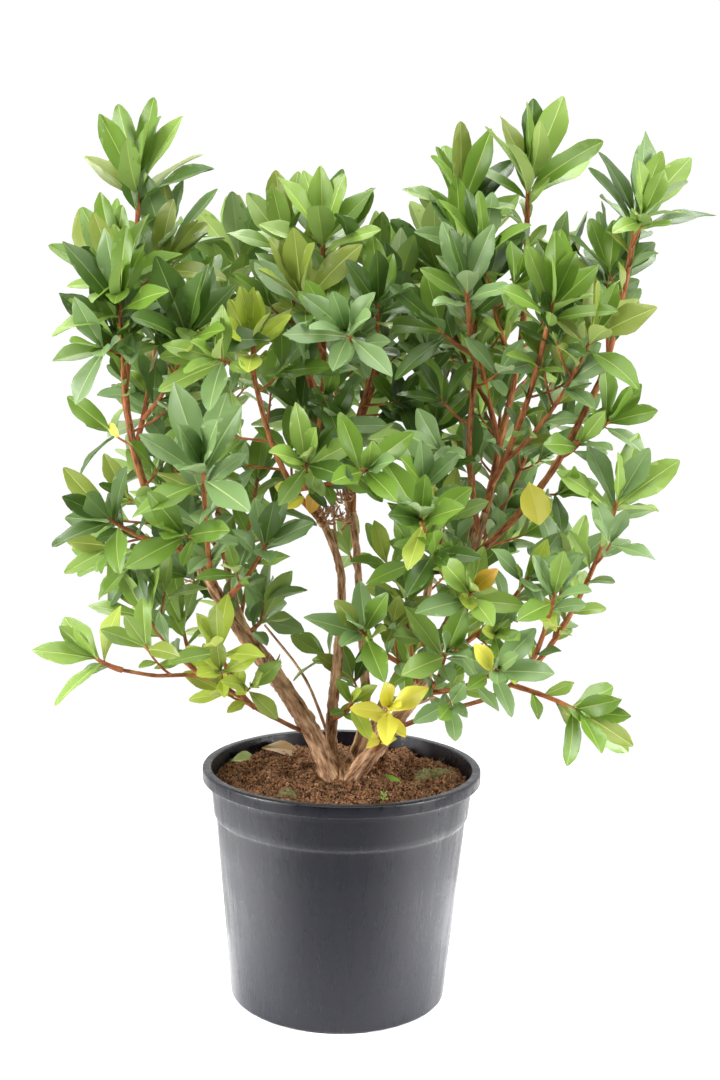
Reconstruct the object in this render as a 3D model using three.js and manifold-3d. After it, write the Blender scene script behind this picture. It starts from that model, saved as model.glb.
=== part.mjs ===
// Azalea shrub in a round nursery pot.
// Millimetres, +Z up, origin at the centre of the pot's flat underside, front of the plant towards -Y.
import * as THREE from "three";
import { mergeVertices } from "three/addons/utils/BufferGeometryUtils.js";
import Module from "manifold-3d";

// ---------------------------------------------------------------- driving dimensions

const CLEARANCE = 0.3; // least gap between neighbouring solids
const CUT_MARGIN = 0.48; // gap that a limb's flat facets leave to what it cuts
const LEAF_CLEARANCE = 0.8; // least gap between a leaf and anything outside its own mass
const TIDY = 0.004; // detail finer than this is closed up after a join
const FOLIAGE_TIDY = 0.1; // the same, on a finished mass of foliage
const WELD = 0.002; // corners closer than this are one

const POT = {
  height: 296,
  baseRadius: 136,
  baseEdge: 5, // rounding under the wall
  wall: 3,
  floor: 4,
  taper: 0.092, // growth of the radius per millimetre of height
  ledgeHeight: 234,
  ledgeStep: 2.8, // the wall steps out by this above the ledge
  rimRadius: 175,
  rimWidth: 11,
  rimDepth: 15.5,
  rimRound: 2.5,
  sides: 32,
};

const SOIL = {
  level: 274, // flat level round the stems
  hollowRadius: 66, // extent of that flat
  swell: 4, // rise of the surface towards the wall
  waves: 3, // height of its unevenness
};

const CROWN = {
  centre: [-2, 27], // where the stems rise from the soil
  flareRadius: 31,
  neckRadius: 20,
  height: 24,
  sides: 12,
  reach: 64, // length of each stem that belongs to the root crown
};

const LIMB = { stemSides: 8, boughSides: 6, stepLength: 46 };

const SHOOT = {
  radius: 3.1, // circumradius at the foot of a three-sided shoot
  tipRadius: 1.9,
  steps: 3,
  firstFork: 0.16, // where the second shoot leaves the leader, as a share of its length
  forkStep: 0.2,
  bendAcross: 0.62, // a shoot first reaches outwards, then turns up
  bendUp: 0.36,
};

const SIDE_TWIG = {
  spacing: 190, // one twig for this much of a shoot
  first: 0.45, // share of the shoot below the lowest twig
  span: 0.4, // share of the shoot that carries twigs
  length: 46,
  spread: 0.2, // variation of the length
  radius: 2.2,
  lean: 48,
  leaves: 3,
};

const LEAF = {
  rosette: 5, // leaves in the whorl at a shoot's tip
  spacing: 66, // distance between the leaves below the whorl
  firstGap: 56, // distance from the shoot's tip to the first of them
  spread: 0.16, // variation of a leaf's length
  bare: 0.4, // share of a shoot that carries no leaves
  scale: 1.1, // larger than life, since each stands for several
  width: 0.43, // of the length
  widest: 0.6,
  thickness: 0.026,
  ridge: 0.36, // where the midrib is thickest
  cup: 0.05, // the margins stand this much above the midrib
  arch: 0.05,
  root: 0.6, // how far the root goes past the twig's axis
  innerLean: 12, // degrees from the shoot, first leaf of the whorl
  outerLean: 72, // last leaf of the whorl
  sideLean: 56,
  whorlStep: 4.5, // distance between the leaves of the whorl
  upward: 0.6, // how much the leaves turn their upper sides to the sky
  nudges: [0, 24, -24, 48, -48], // degrees tried round the shoot
  intrusion: 0.45, // a leaf ends before it comes this much nearer to another mass than to its own
};

const SEED = 43; // of all the random numbers
const GOLDEN_ANGLE = THREE.MathUtils.degToRad(137.5);

// Stems and boughs. A stem starts in the soil. A bough leaves its parent at the share `at` of the
// parent's length. radii are those of its foot and tip, and path is where it goes from its foot.
const STEMS = [
  { name: "left_stem", radii: [12.5, 6.5],
    path: [[-7, 16, 262], [-42, 2, 343], [-138, -28, 486], [-173, -40, 548]] },
  { name: "center_left_stem", radii: [7.5, 4.2],
    path: [[-11, 29, 262], [-14, 24, 342], [-6, 15, 471], [-7, 8, 544], [-36, 8, 620]] },
  { name: "center_right_stem", radii: [6.2, 4.4],
    path: [[3, 38, 262], [28, 60, 344], [24, 72, 425], [15, 74, 534], [7, 66, 610]] },
  { name: "right_stem", radii: [10.5, 4.8],
    path: [[3, 14, 262], [54, -8, 336], [99, -16, 410], [136, -18, 505], [170, -12, 621]] },
  { name: "right_inner_stem", radii: [6.5, 4.2],
    path: [[11, 26, 262], [56, 46, 377], [91, 60, 441], [106, 78, 507], [115, 90, 577]] },
  { name: "back_left_stem", radii: [7, 4.2],
    path: [[-12, 38, 262], [-41, 88, 322], [-90, 132, 386], [-142, 162, 450], [-176, 188, 590]] },
  { name: "back_right_stem", radii: [7, 4.2],
    path: [[6, 46, 262], [56, 90, 320], [106, 132, 380], [146, 162, 464], [172, 188, 590]] },
];

const BOUGHS = [
  { name: "left_bough", parent: "left_stem", at: 1, radii: [6.2, 4],
    path: [[-217, -38, 591], [-249, -30, 657], [-273, -12, 752]] },
  { name: "left_low_bough", parent: "left_stem", at: 0.22, radii: [3.8, 2.4],
    path: [[-106, -25, 372], [-168, -52, 417], [-229, -70, 422], [-265, -80, 430]] },
  { name: "center_left_bough", parent: "center_left_stem", at: 0.93, radii: [3.8, 3],
    path: [[-67, -18, 650], [-93, -42, 708], [-114, -50, 787]] },
  { name: "center_mid_bough", parent: "center_left_stem", at: 1, radii: [3.9, 3],
    path: [[-38, 2, 689], [-31, -5, 784]] },
  { name: "center_right_bough", parent: "center_right_stem", at: 1, radii: [4, 3],
    path: [[8, 56, 710], [32, 20, 800]] },
  { name: "right_leader_bough", parent: "right_stem", at: 1, radii: [4.6, 3.6],
    path: [[188, 5, 711], [205, 15, 800], [212, 20, 861]] },
  { name: "right_middle_bough", parent: "right_stem", at: 0.93, radii: [3.8, 3],
    path: [[146, -42, 695], [150, -50, 801]] },
  { name: "right_bough", parent: "right_stem", at: 0.85, radii: [4.6, 3.8],
    path: [[207, -45, 624], [249, -65, 689], [297, -60, 787]] },
  { name: "right_low_bough", parent: "right_stem", at: 0.25, radii: [3.8, 2.6],
    path: [[110, -50, 376], [184, -95, 414], [229, -110, 456]] },
];

// Masses of foliage. Each grows from its limb at the share `at` of the limb's length: the first tip
// is that of its leader, and the others those of the shoots that fork from the leader. leaf is the
// length of its largest leaves.
const MASSES = [
  { name: "left_leader_foliage", on: "left_bough", at: 1, leaf: 92, tips: [[-257, 0, 1011]] },
  { name: "left_outer_foliage", on: "left_bough", at: 0.86, leaf: 86,
    tips: [[-298, -50, 936], [-286, -95, 872], [-312, -60, 815]] },
  { name: "left_inner_foliage", on: "left_bough", at: 0.72, leaf: 86,
    tips: [[-223, 55, 941], [-185, -90, 833]] },
  { name: "left_side_foliage", on: "left_bough", at: 0.16, leaf: 74,
    tips: [[-288, -100, 622], [-292, 30, 551]] },
  { name: "left_front_foliage", on: "left_stem", at: 0.93, leaf: 96, tips: [[-163, -150, 683]] },
  { name: "left_middle_foliage", on: "left_stem", at: 0.86, leaf: 72,
    tips: [[-105, -80, 600], [-112, 20, 655]] },
  { name: "left_behind_foliage", on: "left_stem", at: 0.7, leaf: 72,
    tips: [[-80, 110, 500], [-205, 90, 552]] },
  { name: "left_low_foliage", on: "left_low_bough", at: 1, leaf: 68, tips: [[-296, -90, 447]] },
  { name: "left_low_upper_foliage", on: "left_low_bough", at: 0.62, leaf: 72,
    tips: [[-246, -20, 489], [-205, 20, 470]] },
  { name: "left_low_front_foliage", on: "left_low_bough", at: 0.34, leaf: 62,
    tips: [[-149, -95, 465]] },

  { name: "center_left_foliage", on: "center_left_bough", at: 1, leaf: 76,
    tips: [[-113, -70, 828], [-150, -120, 806]] },
  { name: "center_upper_left_foliage", on: "center_mid_bough", at: 0.7, leaf: 84,
    tips: [[-81, 70, 963], [-64, 96, 850]] },
  { name: "center_leader_foliage", on: "center_mid_bough", at: 1, leaf: 84,
    tips: [[-35, 0, 957], [-58, -40, 880]] },
  { name: "center_right_foliage", on: "center_right_bough", at: 1, leaf: 84,
    tips: [[33, -40, 872], [-4, -108, 838]] },
  { name: "center_back_foliage", on: "center_right_bough", at: 0.5, leaf: 82,
    tips: [[55, 90, 900], [32, 140, 956]] },
  { name: "center_dark_foliage", on: "right_inner_stem", at: 1, leaf: 80,
    tips: [[95, 40, 819], [106, 0, 728]] },
  { name: "center_front_foliage", on: "center_left_bough", at: 0.3, leaf: 80,
    tips: [[24, -150, 685], [-46, -130, 690]] },
  { name: "center_low_foliage", on: "right_stem", at: 0.47, leaf: 70, tips: [[19, -110, 492]] },
  { name: "low_shoot_foliage", on: "center_left_stem", at: 0.24, leaf: 46, tips: [[12, -42, 388]] },
  { name: "yellow_shoot_foliage", on: "right_stem", at: 0.17, leaf: 56, tips: [[55, -95, 395]] },

  { name: "right_leader_foliage", on: "right_leader_bough", at: 1, leaf: 94,
    tips: [[212, 20, 1034], [236, 62, 930]] },
  { name: "right_inner_foliage", on: "right_leader_bough", at: 0.35, leaf: 88,
    tips: [[138, 70, 1003], [105, 118, 950]] },
  { name: "right_upper_foliage", on: "right_leader_bough", at: 0.72, leaf: 84,
    tips: [[156, -34, 939]] },
  { name: "right_middle_foliage", on: "right_middle_bough", at: 1, leaf: 80,
    tips: [[134, -90, 895], [104, -60, 846]] },
  { name: "right_side_foliage", on: "right_leader_bough", at: 0.14, leaf: 76,
    tips: [[230, -130, 878], [276, -128, 840]] },
  { name: "right_outer_foliage", on: "right_bough", at: 1, leaf: 88,
    tips: [[345, -50, 995], [312, 16, 909], [280, 62, 880]] },
  { name: "right_edge_foliage", on: "right_bough", at: 0.68, leaf: 66, tips: [[322, -84, 750]] },
  { name: "right_front_foliage", on: "right_stem", at: 0.52, leaf: 78,
    tips: [[213, -120, 587], [146, -140, 545]] },
  { name: "right_front_low_foliage", on: "right_stem", at: 0.4, leaf: 66,
    tips: [[177, -170, 460], [120, -128, 470]] },
  { name: "right_front_upper_foliage", on: "right_stem", at: 0.74, leaf: 84,
    tips: [[85, -160, 632], [90, -92, 664]] },
  { name: "right_low_foliage", on: "right_low_bough", at: 1, leaf: 76,
    tips: [[314, -120, 652], [286, -58, 577]] },
  { name: "right_low_upper_foliage", on: "right_low_bough", at: 0.92, leaf: 66,
    tips: [[240, -160, 548]] },
  { name: "right_drooping_foliage", on: "right_low_bough", at: 0.82, leaf: 76,
    tips: [[279, -150, 406]] },

  { name: "back_left_top_foliage", on: "back_left_stem", at: 1, leaf: 86,
    tips: [[-146, 150, 950], [-196, 205, 868]] },
  { name: "back_left_side_foliage", on: "back_left_stem", at: 0.84, leaf: 82,
    tips: [[-262, 140, 760], [-210, 225, 716]] },
  { name: "back_left_low_foliage", on: "back_left_stem", at: 0.55, leaf: 76,
    tips: [[-224, 168, 590], [-128, 258, 590]] },
  { name: "back_middle_foliage", on: "center_right_stem", at: 0.9, leaf: 84,
    tips: [[-30, 205, 880], [20, 245, 770], [-62, 232, 722]] },
  { name: "back_right_top_foliage", on: "back_right_stem", at: 1, leaf: 86,
    tips: [[150, 190, 960], [92, 232, 872]] },
  { name: "back_right_side_foliage", on: "back_right_stem", at: 0.84, leaf: 82,
    tips: [[268, 150, 792], [206, 228, 752]] },
  { name: "back_right_low_foliage", on: "back_right_stem", at: 0.55, leaf: 76,
    tips: [[228, 186, 600], [140, 262, 590]] },
];

const COLOURS = {
  plastic: 0x2d2f35,
  peat: 0x53382a,
  bark: 0x8b6a50,
  young: 0x8a5a3a,
  foliage: 0x5f8d3a,
  yellow: 0xd9c94f,
};

// ---------------------------------------------------------------- solids

const wasm = await Module();
wasm.setup();

function toSolid(geometry) {
  geometry.deleteAttribute("normal");
  geometry.deleteAttribute("uv");
  const merged = mergeVertices(geometry, WELD);
  return new wasm.Manifold(new wasm.Mesh({
    numProp: 3,
    vertProperties: merged.getAttribute("position").array,
    triVerts: Uint32Array.from(merged.getIndex().array),
  }));
}

function toGeometry(solid) {
  const { vertProperties, triVerts } = solid.getMesh();
  const geometry = new THREE.BufferGeometry();
  geometry.setAttribute("position", new THREE.BufferAttribute(vertProperties, 3));
  geometry.setIndex(new THREE.BufferAttribute(triVerts, 1));
  geometry.computeVertexNormals();
  return geometry;
}

// The largest closed body of a solid: loose scraps and sealed hollows are dropped.
function mainBody(solid, tidy = TIDY) {
  const bodies = solid.simplify(tidy).decompose();
  return bodies.reduce((best, body) => (body.volume() > best.volume() ? body : best));
}

function boxesMeet(a, b, margin) {
  const p = a.boundingBox();
  const q = b.boundingBox();
  return [0, 1, 2].every((i) => p.min[i] - margin < q.max[i] && q.min[i] - margin < p.max[i]);
}

function isClear(solid, others, gap) {
  return others.every((other) => !boxesMeet(solid, other, gap) || solid.minGap(other, gap) >= gap);
}

const vector = (point) => new THREE.Vector3(...point);

// Two directions square to an axis, and to each other.
function crossAxes(axis) {
  const guide = Math.abs(axis.y) < 0.85 ? new THREE.Vector3(0, 1, 0) : new THREE.Vector3(1, 0, 0);
  const across = new THREE.Vector3().crossVectors(guide, axis).normalize();
  const over = new THREE.Vector3().crossVectors(axis, across).normalize();
  return { across, over };
}

// A tapering round rod along a curve: a unit cylinder whose rings are moved to the curve. It may
// run past the curve's end.
function taperedRod(curve, { from = 0, to = 1, past = 0, radii, sides, steps }) {
  const rod = new THREE.CylinderGeometry(1, 1, 1, sides, steps);
  const position = rod.getAttribute("position");
  for (let i = 0; i < position.count; i += 1) {
    const share = from + (to - from) * (position.getY(i) + 0.5);
    const tangent = curve.getTangentAt(share);
    const { across, over } = crossAxes(tangent);
    const radius = THREE.MathUtils.lerp(radii[0], radii[1], share);
    const point = curve.getPointAt(share);
    point.addScaledVector(tangent, position.getY(i) > 0.499 ? past : 0);
    point.addScaledVector(across, position.getX(i) * radius);
    point.addScaledVector(over, -position.getZ(i) * radius);
    position.setXYZ(i, point.x, point.y, point.z);
  }
  return toSolid(rod);
}

// Repeatable random numbers from 0 to 1.
function seededRandom(seed) {
  let state = seed >>> 0;
  return () => {
    state = (state + 0x6d2b79f5) >>> 0;
    let mixed = Math.imul(state ^ (state >>> 15), state | 1);
    mixed ^= mixed + Math.imul(mixed ^ (mixed >>> 7), mixed | 61);
    return ((mixed ^ (mixed >>> 14)) >>> 0) / 4294967296;
  };
}

// ---------------------------------------------------------------- pot and soil

const outerRadius = (z) => POT.baseRadius + POT.taper * z + (z > POT.ledgeHeight ? POT.ledgeStep : 0);
const innerRadius = (z) => outerRadius(z) - POT.wall;

function potProfile() {
  const rimFoot = POT.height - POT.rimDepth;
  const ledgeTop = POT.ledgeHeight + POT.ledgeStep;
  const rimInner = POT.rimRadius - POT.rimWidth;
  return [
    [0, POT.floor],
    [innerRadius(POT.floor), POT.floor],
    [innerRadius(POT.ledgeHeight), POT.ledgeHeight],
    [innerRadius(ledgeTop), ledgeTop],
    [innerRadius(rimFoot), rimFoot],
    [rimInner, POT.height - POT.rimRound / 2],
    [rimInner + POT.rimRound / 2, POT.height],
    [POT.rimRadius - POT.rimRound, POT.height],
    [POT.rimRadius, POT.height - POT.rimRound],
    [POT.rimRadius, rimFoot + POT.rimRound / 2],
    [POT.rimRadius - POT.rimRound / 2, rimFoot],
    [outerRadius(rimFoot), rimFoot],
    [outerRadius(ledgeTop), ledgeTop],
    [outerRadius(POT.ledgeHeight), POT.ledgeHeight],
    [outerRadius(POT.baseEdge), POT.baseEdge],
    [POT.baseRadius - POT.baseEdge * 0.3, POT.baseEdge * 0.3],
    [POT.baseRadius - POT.baseEdge, 0],
    [0, 0],
  ];
}

// A solid turned round the Z axis from a list of [radius, height] pairs.
function turned(profile) {
  const points = profile.map(([radius, z]) => new THREE.Vector2(radius, z)).reverse();
  return new THREE.LatheGeometry(points, POT.sides).rotateX(Math.PI / 2);
}

const makePot = () => toSolid(turned(potProfile()));

function makeSoil() {
  const foot = POT.floor + CLEARANCE;
  const edge = innerRadius(SOIL.level) - CLEARANCE;
  const ring = (share) => SOIL.hollowRadius + (edge - SOIL.hollowRadius) * share;
  const soil = turned([
    [0, SOIL.level],
    [SOIL.hollowRadius, SOIL.level],
    [ring(0.35), SOIL.level + SOIL.swell / 2],
    [ring(0.75), SOIL.level + SOIL.swell],
    [edge, SOIL.level],
    [innerRadius(POT.ledgeHeight) - CLEARANCE, POT.ledgeHeight],
    [innerRadius(foot) - CLEARANCE, foot],
    [0, foot],
  ]);
  const position = soil.getAttribute("position");
  for (let i = 0; i < position.count; i += 1) {
    const angle = Math.atan2(position.getY(i), position.getX(i));
    const radius = Math.hypot(position.getX(i), position.getY(i));
    if (position.getZ(i) > SOIL.level && radius > SOIL.hollowRadius + 1) {
      const wave = Math.sin(3 * angle + radius / 9) * Math.cos(5 * angle - radius / 23);
      position.setZ(i, position.getZ(i) + SOIL.waves * wave);
    }
  }
  return toSolid(soil);
}

// ---------------------------------------------------------------- stems and boughs

const limbs = new Map(); // name to { curve, radii, sides, solid, grown }

function rodSteps(curve, share) {
  return Math.max(2, Math.round((curve.getLength() * share) / LIMB.stepLength));
}

function limbRod({ curve, from, radii, sides }) {
  return taperedRod(curve, { from, radii, sides, steps: rodSteps(curve, 1 - from) });
}

// The limb with its skin moved out, which cuts what grows from it.
function grownRod({ curve, from, radii, sides }) {
  const grown = radii.map((radius) => radius + CUT_MARGIN);
  const steps = rodSteps(curve, 1 - from);
  return taperedRod(curve, { from, past: CUT_MARGIN, radii: grown, sides, steps });
}

function cutByParent(solid, limb) {
  if (!limb.grown) {
    limb.grown = grownRod(limb);
  }
  return mainBody(solid.subtract(limb.grown));
}

function makeStems() {
  for (const { name, radii, path } of STEMS) {
    const curve = new THREE.CatmullRomCurve3(path.map(vector));
    const from = (CROWN.reach + CLEARANCE) / curve.getLength();
    const limb = { curve, radii, sides: LIMB.stemSides, from };
    limb.solid = limbRod(limb);
    limbs.set(name, limb);
  }
}

function makeBoughs() {
  for (const { name, parent, at, radii, path } of BOUGHS) {
    const start = limbs.get(parent).curve.getPointAt(at);
    const curve = new THREE.CatmullRomCurve3([start, ...path.map(vector)]);
    const limb = { curve, radii, sides: LIMB.boughSides, from: 0 };
    limb.solid = cutByParent(limbRod(limb), limbs.get(parent));
    limbs.set(name, limb);
  }
}

// The stool that the stems rise from, with the flare of each stem's foot, cut flat at the soil.
function makeRootCrown() {
  const flare = new THREE.CylinderGeometry(
    CROWN.neckRadius, CROWN.flareRadius, CROWN.height, CROWN.sides);
  flare.rotateX(Math.PI / 2);
  flare.translate(...CROWN.centre, SOIL.level + CROWN.height / 2);
  const feet = STEMS.map(({ name }) => {
    const { curve, radii, sides } = limbs.get(name);
    const to = CROWN.reach / curve.getLength();
    return taperedRod(curve, { to, radii, sides, steps: 2 });
  });
  const stool = wasm.Manifold.union([toSolid(flare), ...feet]);
  return mainBody(stool.trimByPlane([0, 0, 1], SOIL.level + CLEARANCE));
}

// ---------------------------------------------------------------- foliage

// The path of a shoot, in a few straight stretches, so that what grows from it starts on its axis.
function shootPath(start, tip, steps = SHOOT.steps) {
  const bend = new THREE.Vector3(
    THREE.MathUtils.lerp(start.x, tip.x, SHOOT.bendAcross),
    THREE.MathUtils.lerp(start.y, tip.y, SHOOT.bendAcross),
    THREE.MathUtils.lerp(start.z, tip.z, SHOOT.bendUp));
  const corners = new THREE.QuadraticBezierCurve3(start, bend, tip).getSpacedPoints(steps);
  const path = new THREE.CurvePath();
  corners.slice(1).forEach((end, i) => path.add(new THREE.LineCurve3(corners[i], end)));
  return path;
}

// A direction that leans from an axis by an angle, turned round it by another.
function leaning(axis, lean, turn) {
  const { across, over } = crossAxes(axis);
  const outward = across.multiplyScalar(Math.cos(turn)).addScaledVector(over, Math.sin(turn));
  return axis.clone().multiplyScalar(Math.cos(lean)).addScaledVector(outward, Math.sin(lean));
}

// Leader, forked shoots and seeded side twigs of one mass: curves with their radii and leaf counts.
function growShoots(mass, random) {
  const limb = limbs.get(mass.on);
  const start = limb.curve.getPointAt(mass.at);
  const radii = [SHOOT.radius, SHOOT.tipRadius];
  const leader = shootPath(start, vector(mass.tips[0]));
  const shoots = [{ curve: leader, radii, whorl: LEAF.rosette, leafy: true }];
  mass.tips.slice(1).forEach((tip, i) => {
    const fork = leader.getPointAt(SHOOT.firstFork + SHOOT.forkStep * i);
    shoots.push({ curve: shootPath(fork, vector(tip)), radii, whorl: LEAF.rosette, leafy: true });
  });
  return shoots.concat(shoots.flatMap(({ curve }) => growSideTwigs(curve, random)));
}

function growSideTwigs(curve, random) {
  const count = Math.floor(curve.getLength() / SIDE_TWIG.spacing);
  const turn = random() * 2 * Math.PI;
  return Array.from({ length: count }, (_, i) => {
    const share = SIDE_TWIG.first + (SIDE_TWIG.span * (i + random() / 2)) / count;
    const foot = curve.getPointAt(share);
    const lean = THREE.MathUtils.degToRad(SIDE_TWIG.lean);
    const along = leaning(curve.getTangentAt(share), lean, turn + i * GOLDEN_ANGLE);
    const length = SIDE_TWIG.length * (1 + SIDE_TWIG.spread * (2 * random() - 1));
    const tip = foot.clone().addScaledVector(along, length);
    const radii = [SIDE_TWIG.radius, SHOOT.tipRadius];
    return { curve: shootPath(foot, tip, 1), radii, steps: 1, whorl: SIDE_TWIG.leaves, leafy: false };
  });
}

// A leaf is a long octahedron of eight faces, cupped along its midrib and arched towards its tip.
function makeLeaf(root, along, up, length) {
  const face = up.clone().addScaledVector(along, -up.dot(along)).normalize();
  const side = new THREE.Vector3().crossVectors(along, face);
  const leaf = new THREE.OctahedronGeometry(1, 0);
  const position = leaf.getAttribute("position");
  for (let i = 0; i < position.count; i += 1) {
    const [x, y, z] = [position.getX(i), position.getY(i), position.getZ(i)];
    const reach = y > 0.5 ? length : y < -0.5 ? -LEAF.root : length * (x ? LEAF.widest : LEAF.ridge);
    const lift = Math.abs(x) * LEAF.cup + (Math.abs(z) - Math.max(y, 0)) * LEAF.arch;
    const point = root.clone().addScaledVector(along, reach);
    point.addScaledVector(side, (x * length * LEAF.width) / 2);
    point.addScaledVector(face, length * (lift + (z * LEAF.thickness) / 2));
    position.setXYZ(i, point.x, point.y, point.z);
  }
  return toSolid(leaf);
}

// Where the leaves of a shoot go: a whorl at its tip, and single leaves in a spiral below it.
function leafPlaces({ curve, whorl, leafy }, size, random) {
  const turn = random() * 2 * Math.PI;
  const length = curve.getLength();
  const places = [];
  for (let i = 0; i < whorl; i += 1) {
    const lean = LEAF.innerLean + ((LEAF.outerLean - LEAF.innerLean) * i) / (whorl - 1);
    places.push({ gap: 1 + LEAF.whorlStep * i, lean });
  }
  const span = leafy ? length * (1 - LEAF.bare) : 0;
  for (let gap = LEAF.firstGap; gap < span; gap += LEAF.spacing) {
    places.push({ gap, lean: LEAF.sideLean });
  }
  return places.map(({ gap, lean }, i) => ({
    share: 1 - gap / length,
    lean,
    turn: turn + i * GOLDEN_ANGLE,
    size: size * (1 - LEAF.spread * random()),
  }));
}

const spinePoints = (shoots) => shoots.flatMap(({ curve }) => curve.getSpacedPoints(8));

const nearest = (point, points) => Math.min(...points.map((other) => point.distanceTo(other)));

// A leaf stays in its own mass's space when its end isn't much nearer to another mass's twigs.
function staysInSpace(end, own, others) {
  const reach = nearest(end, own);
  return others.every((points) => nearest(end, points) > reach * LEAF.intrusion);
}

// A leaf in its place on a shoot, turned round the shoot as little as it takes to be free.
function placeLeaf(shoot, place, isFree) {
  const axis = shoot.curve.getTangentAt(place.share);
  const root = shoot.curve.getPointAt(place.share);
  const up = axis.clone().add(new THREE.Vector3(0, 0, LEAF.upward));
  for (const nudge of LEAF.nudges) {
    const turn = place.turn + THREE.MathUtils.degToRad(nudge);
    const along = leaning(axis, THREE.MathUtils.degToRad(place.lean), turn);
    const leaf = makeLeaf(root, along, up, place.size);
    if (isFree(leaf, root.clone().addScaledVector(along, place.size))) {
      return leaf;
    }
  }
  return null;
}

function growLeaves(mass, shoots, random, isFree) {
  const leaves = [];
  for (const shoot of shoots) {
    const otherRods = shoots.filter((other) => other !== shoot).map((other) => other.rod);
    const isFreeHere = (leaf, end) => isClear(leaf, leaves, CLEARANCE)
      && isClear(leaf, otherRods, CLEARANCE) && isFree(leaf, end);
    for (const place of leafPlaces(shoot, mass.leaf * LEAF.scale, random)) {
      const leaf = placeLeaf(shoot, place, isFreeHere);
      if (leaf) {
        leaves.push(leaf);
      }
    }
  }
  return leaves;
}

// Twigs of every mass come first, so that no leaf grows through the twigs of another.
function makeTwigs(obstacles) {
  return MASSES.map((mass, index) => {
    const random = seededRandom(SEED + index);
    const shoots = [];
    for (const shoot of growShoots(mass, random)) {
      const { curve, radii, steps = SHOOT.steps } = shoot;
      let rod = taperedRod(curve, { radii, sides: 3, steps });
      if (!shoots.length) {
        rod = cutByParent(rod, limbs.get(mass.on));
      }
      if (isClear(rod, obstacles, CLEARANCE)) {
        shoots.push({ ...shoot, rod });
      } else if (!shoots.length) {
        throw new Error(`the leader of ${mass.name} runs into another piece`);
      }
    }
    const solid = wasm.Manifold.union(shoots.map((shoot) => shoot.rod));
    obstacles.push(solid);
    return { mass, shoots, solid, random, spine: spinePoints(shoots) };
  });
}

function makeFoliage(fixedPieces) {
  const obstacles = [...fixedPieces];
  const grown = makeTwigs(obstacles);
  const taken = []; // leaves of the masses that are finished
  return grown.map(({ mass, shoots, solid, random, spine }) => {
    const foreign = obstacles.filter((piece) => piece !== solid).concat(taken);
    const otherSpines = grown.filter((other) => other.mass !== mass).map((other) => other.spine);
    const isFree = (leaf, end) => staysInSpace(end, spine, otherSpines)
      && isClear(leaf, foreign, LEAF_CLEARANCE);
    const leaves = growLeaves(mass, shoots, random, isFree);
    taken.push(...leaves);
    const joined = mainBody(wasm.Manifold.union([solid, ...leaves]), FOLIAGE_TIDY);
    return { name: mass.name, solid: mainBody(toSolid(toGeometry(joined)), FOLIAGE_TIDY) };
  });
}

// ---------------------------------------------------------------- assembly

const shrub = new THREE.Group();

function addPiece(name, solid, color, roughness) {
  const material = new THREE.MeshStandardMaterial({ color, roughness, metalness: 0 });
  const mesh = new THREE.Mesh(toGeometry(solid), material);
  mesh.name = name;
  shrub.add(mesh);
}

const pot = makePot();
const soil = makeSoil();
makeStems();
makeBoughs();
const rootCrown = makeRootCrown();
const limbSolids = [...limbs.values()].map((limb) => limb.solid);
const foliage = makeFoliage([pot, soil, rootCrown, ...limbSolids]);

addPiece("pot", pot, COLOURS.plastic, 0.38);
addPiece("potting_soil", soil, COLOURS.peat, 0.95);
addPiece("root_crown", rootCrown, COLOURS.bark, 0.85);
for (const [name, limb] of limbs) {
  addPiece(name, limb.solid, name.endsWith("bough") ? COLOURS.young : COLOURS.bark, 0.8);
}
for (const { name, solid } of foliage) {
  addPiece(name, solid, name.startsWith("yellow") ? COLOURS.yellow : COLOURS.foliage, 0.5);
}

export default shrub;
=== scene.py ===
"""An azalea shrub in a round nursery pot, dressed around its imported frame."""

import math

import bmesh
import bpy
import numpy as np
from bpy.props import FloatProperty, FloatVectorProperty, IntProperty, PointerProperty
from bpy.types import Operator, Panel, PropertyGroup
from mathutils import Matrix, Vector, noise


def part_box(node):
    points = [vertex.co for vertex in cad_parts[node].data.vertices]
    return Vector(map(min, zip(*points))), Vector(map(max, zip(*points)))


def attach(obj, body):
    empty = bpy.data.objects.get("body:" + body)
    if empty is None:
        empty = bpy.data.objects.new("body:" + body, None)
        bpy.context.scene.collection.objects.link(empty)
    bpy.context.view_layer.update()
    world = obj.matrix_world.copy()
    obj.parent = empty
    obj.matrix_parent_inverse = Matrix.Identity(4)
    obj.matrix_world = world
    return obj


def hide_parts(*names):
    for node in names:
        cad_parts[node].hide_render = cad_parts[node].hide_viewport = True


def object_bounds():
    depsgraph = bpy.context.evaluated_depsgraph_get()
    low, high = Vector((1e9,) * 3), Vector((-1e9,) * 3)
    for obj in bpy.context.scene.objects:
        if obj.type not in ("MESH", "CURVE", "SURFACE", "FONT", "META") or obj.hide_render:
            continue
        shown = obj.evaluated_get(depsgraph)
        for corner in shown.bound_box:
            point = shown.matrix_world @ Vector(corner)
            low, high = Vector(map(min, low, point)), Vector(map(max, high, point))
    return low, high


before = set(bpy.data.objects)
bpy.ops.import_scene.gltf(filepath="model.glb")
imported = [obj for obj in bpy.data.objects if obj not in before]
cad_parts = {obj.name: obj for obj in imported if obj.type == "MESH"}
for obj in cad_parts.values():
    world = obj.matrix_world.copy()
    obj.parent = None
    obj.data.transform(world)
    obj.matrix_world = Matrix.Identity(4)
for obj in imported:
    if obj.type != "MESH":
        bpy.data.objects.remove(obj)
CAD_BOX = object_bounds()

bl_info = {
    "name": "Azalea Shrub in a Nursery Pot",
    "version": (1, 0, 0),
    "blender": (4, 5, 0),
    "location": "View3D > Sidebar > Azalea",
    "description": "Builds the pot, soil, stems, shoots and leaves of a potted azalea shrub",
    "category": "Add Mesh",
}

MM = 0.001
ROOT = "root"
GOLDEN_ANGLE = math.radians(137.5)
SEED = 43  # of the plant's growth, as in the frame

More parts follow.
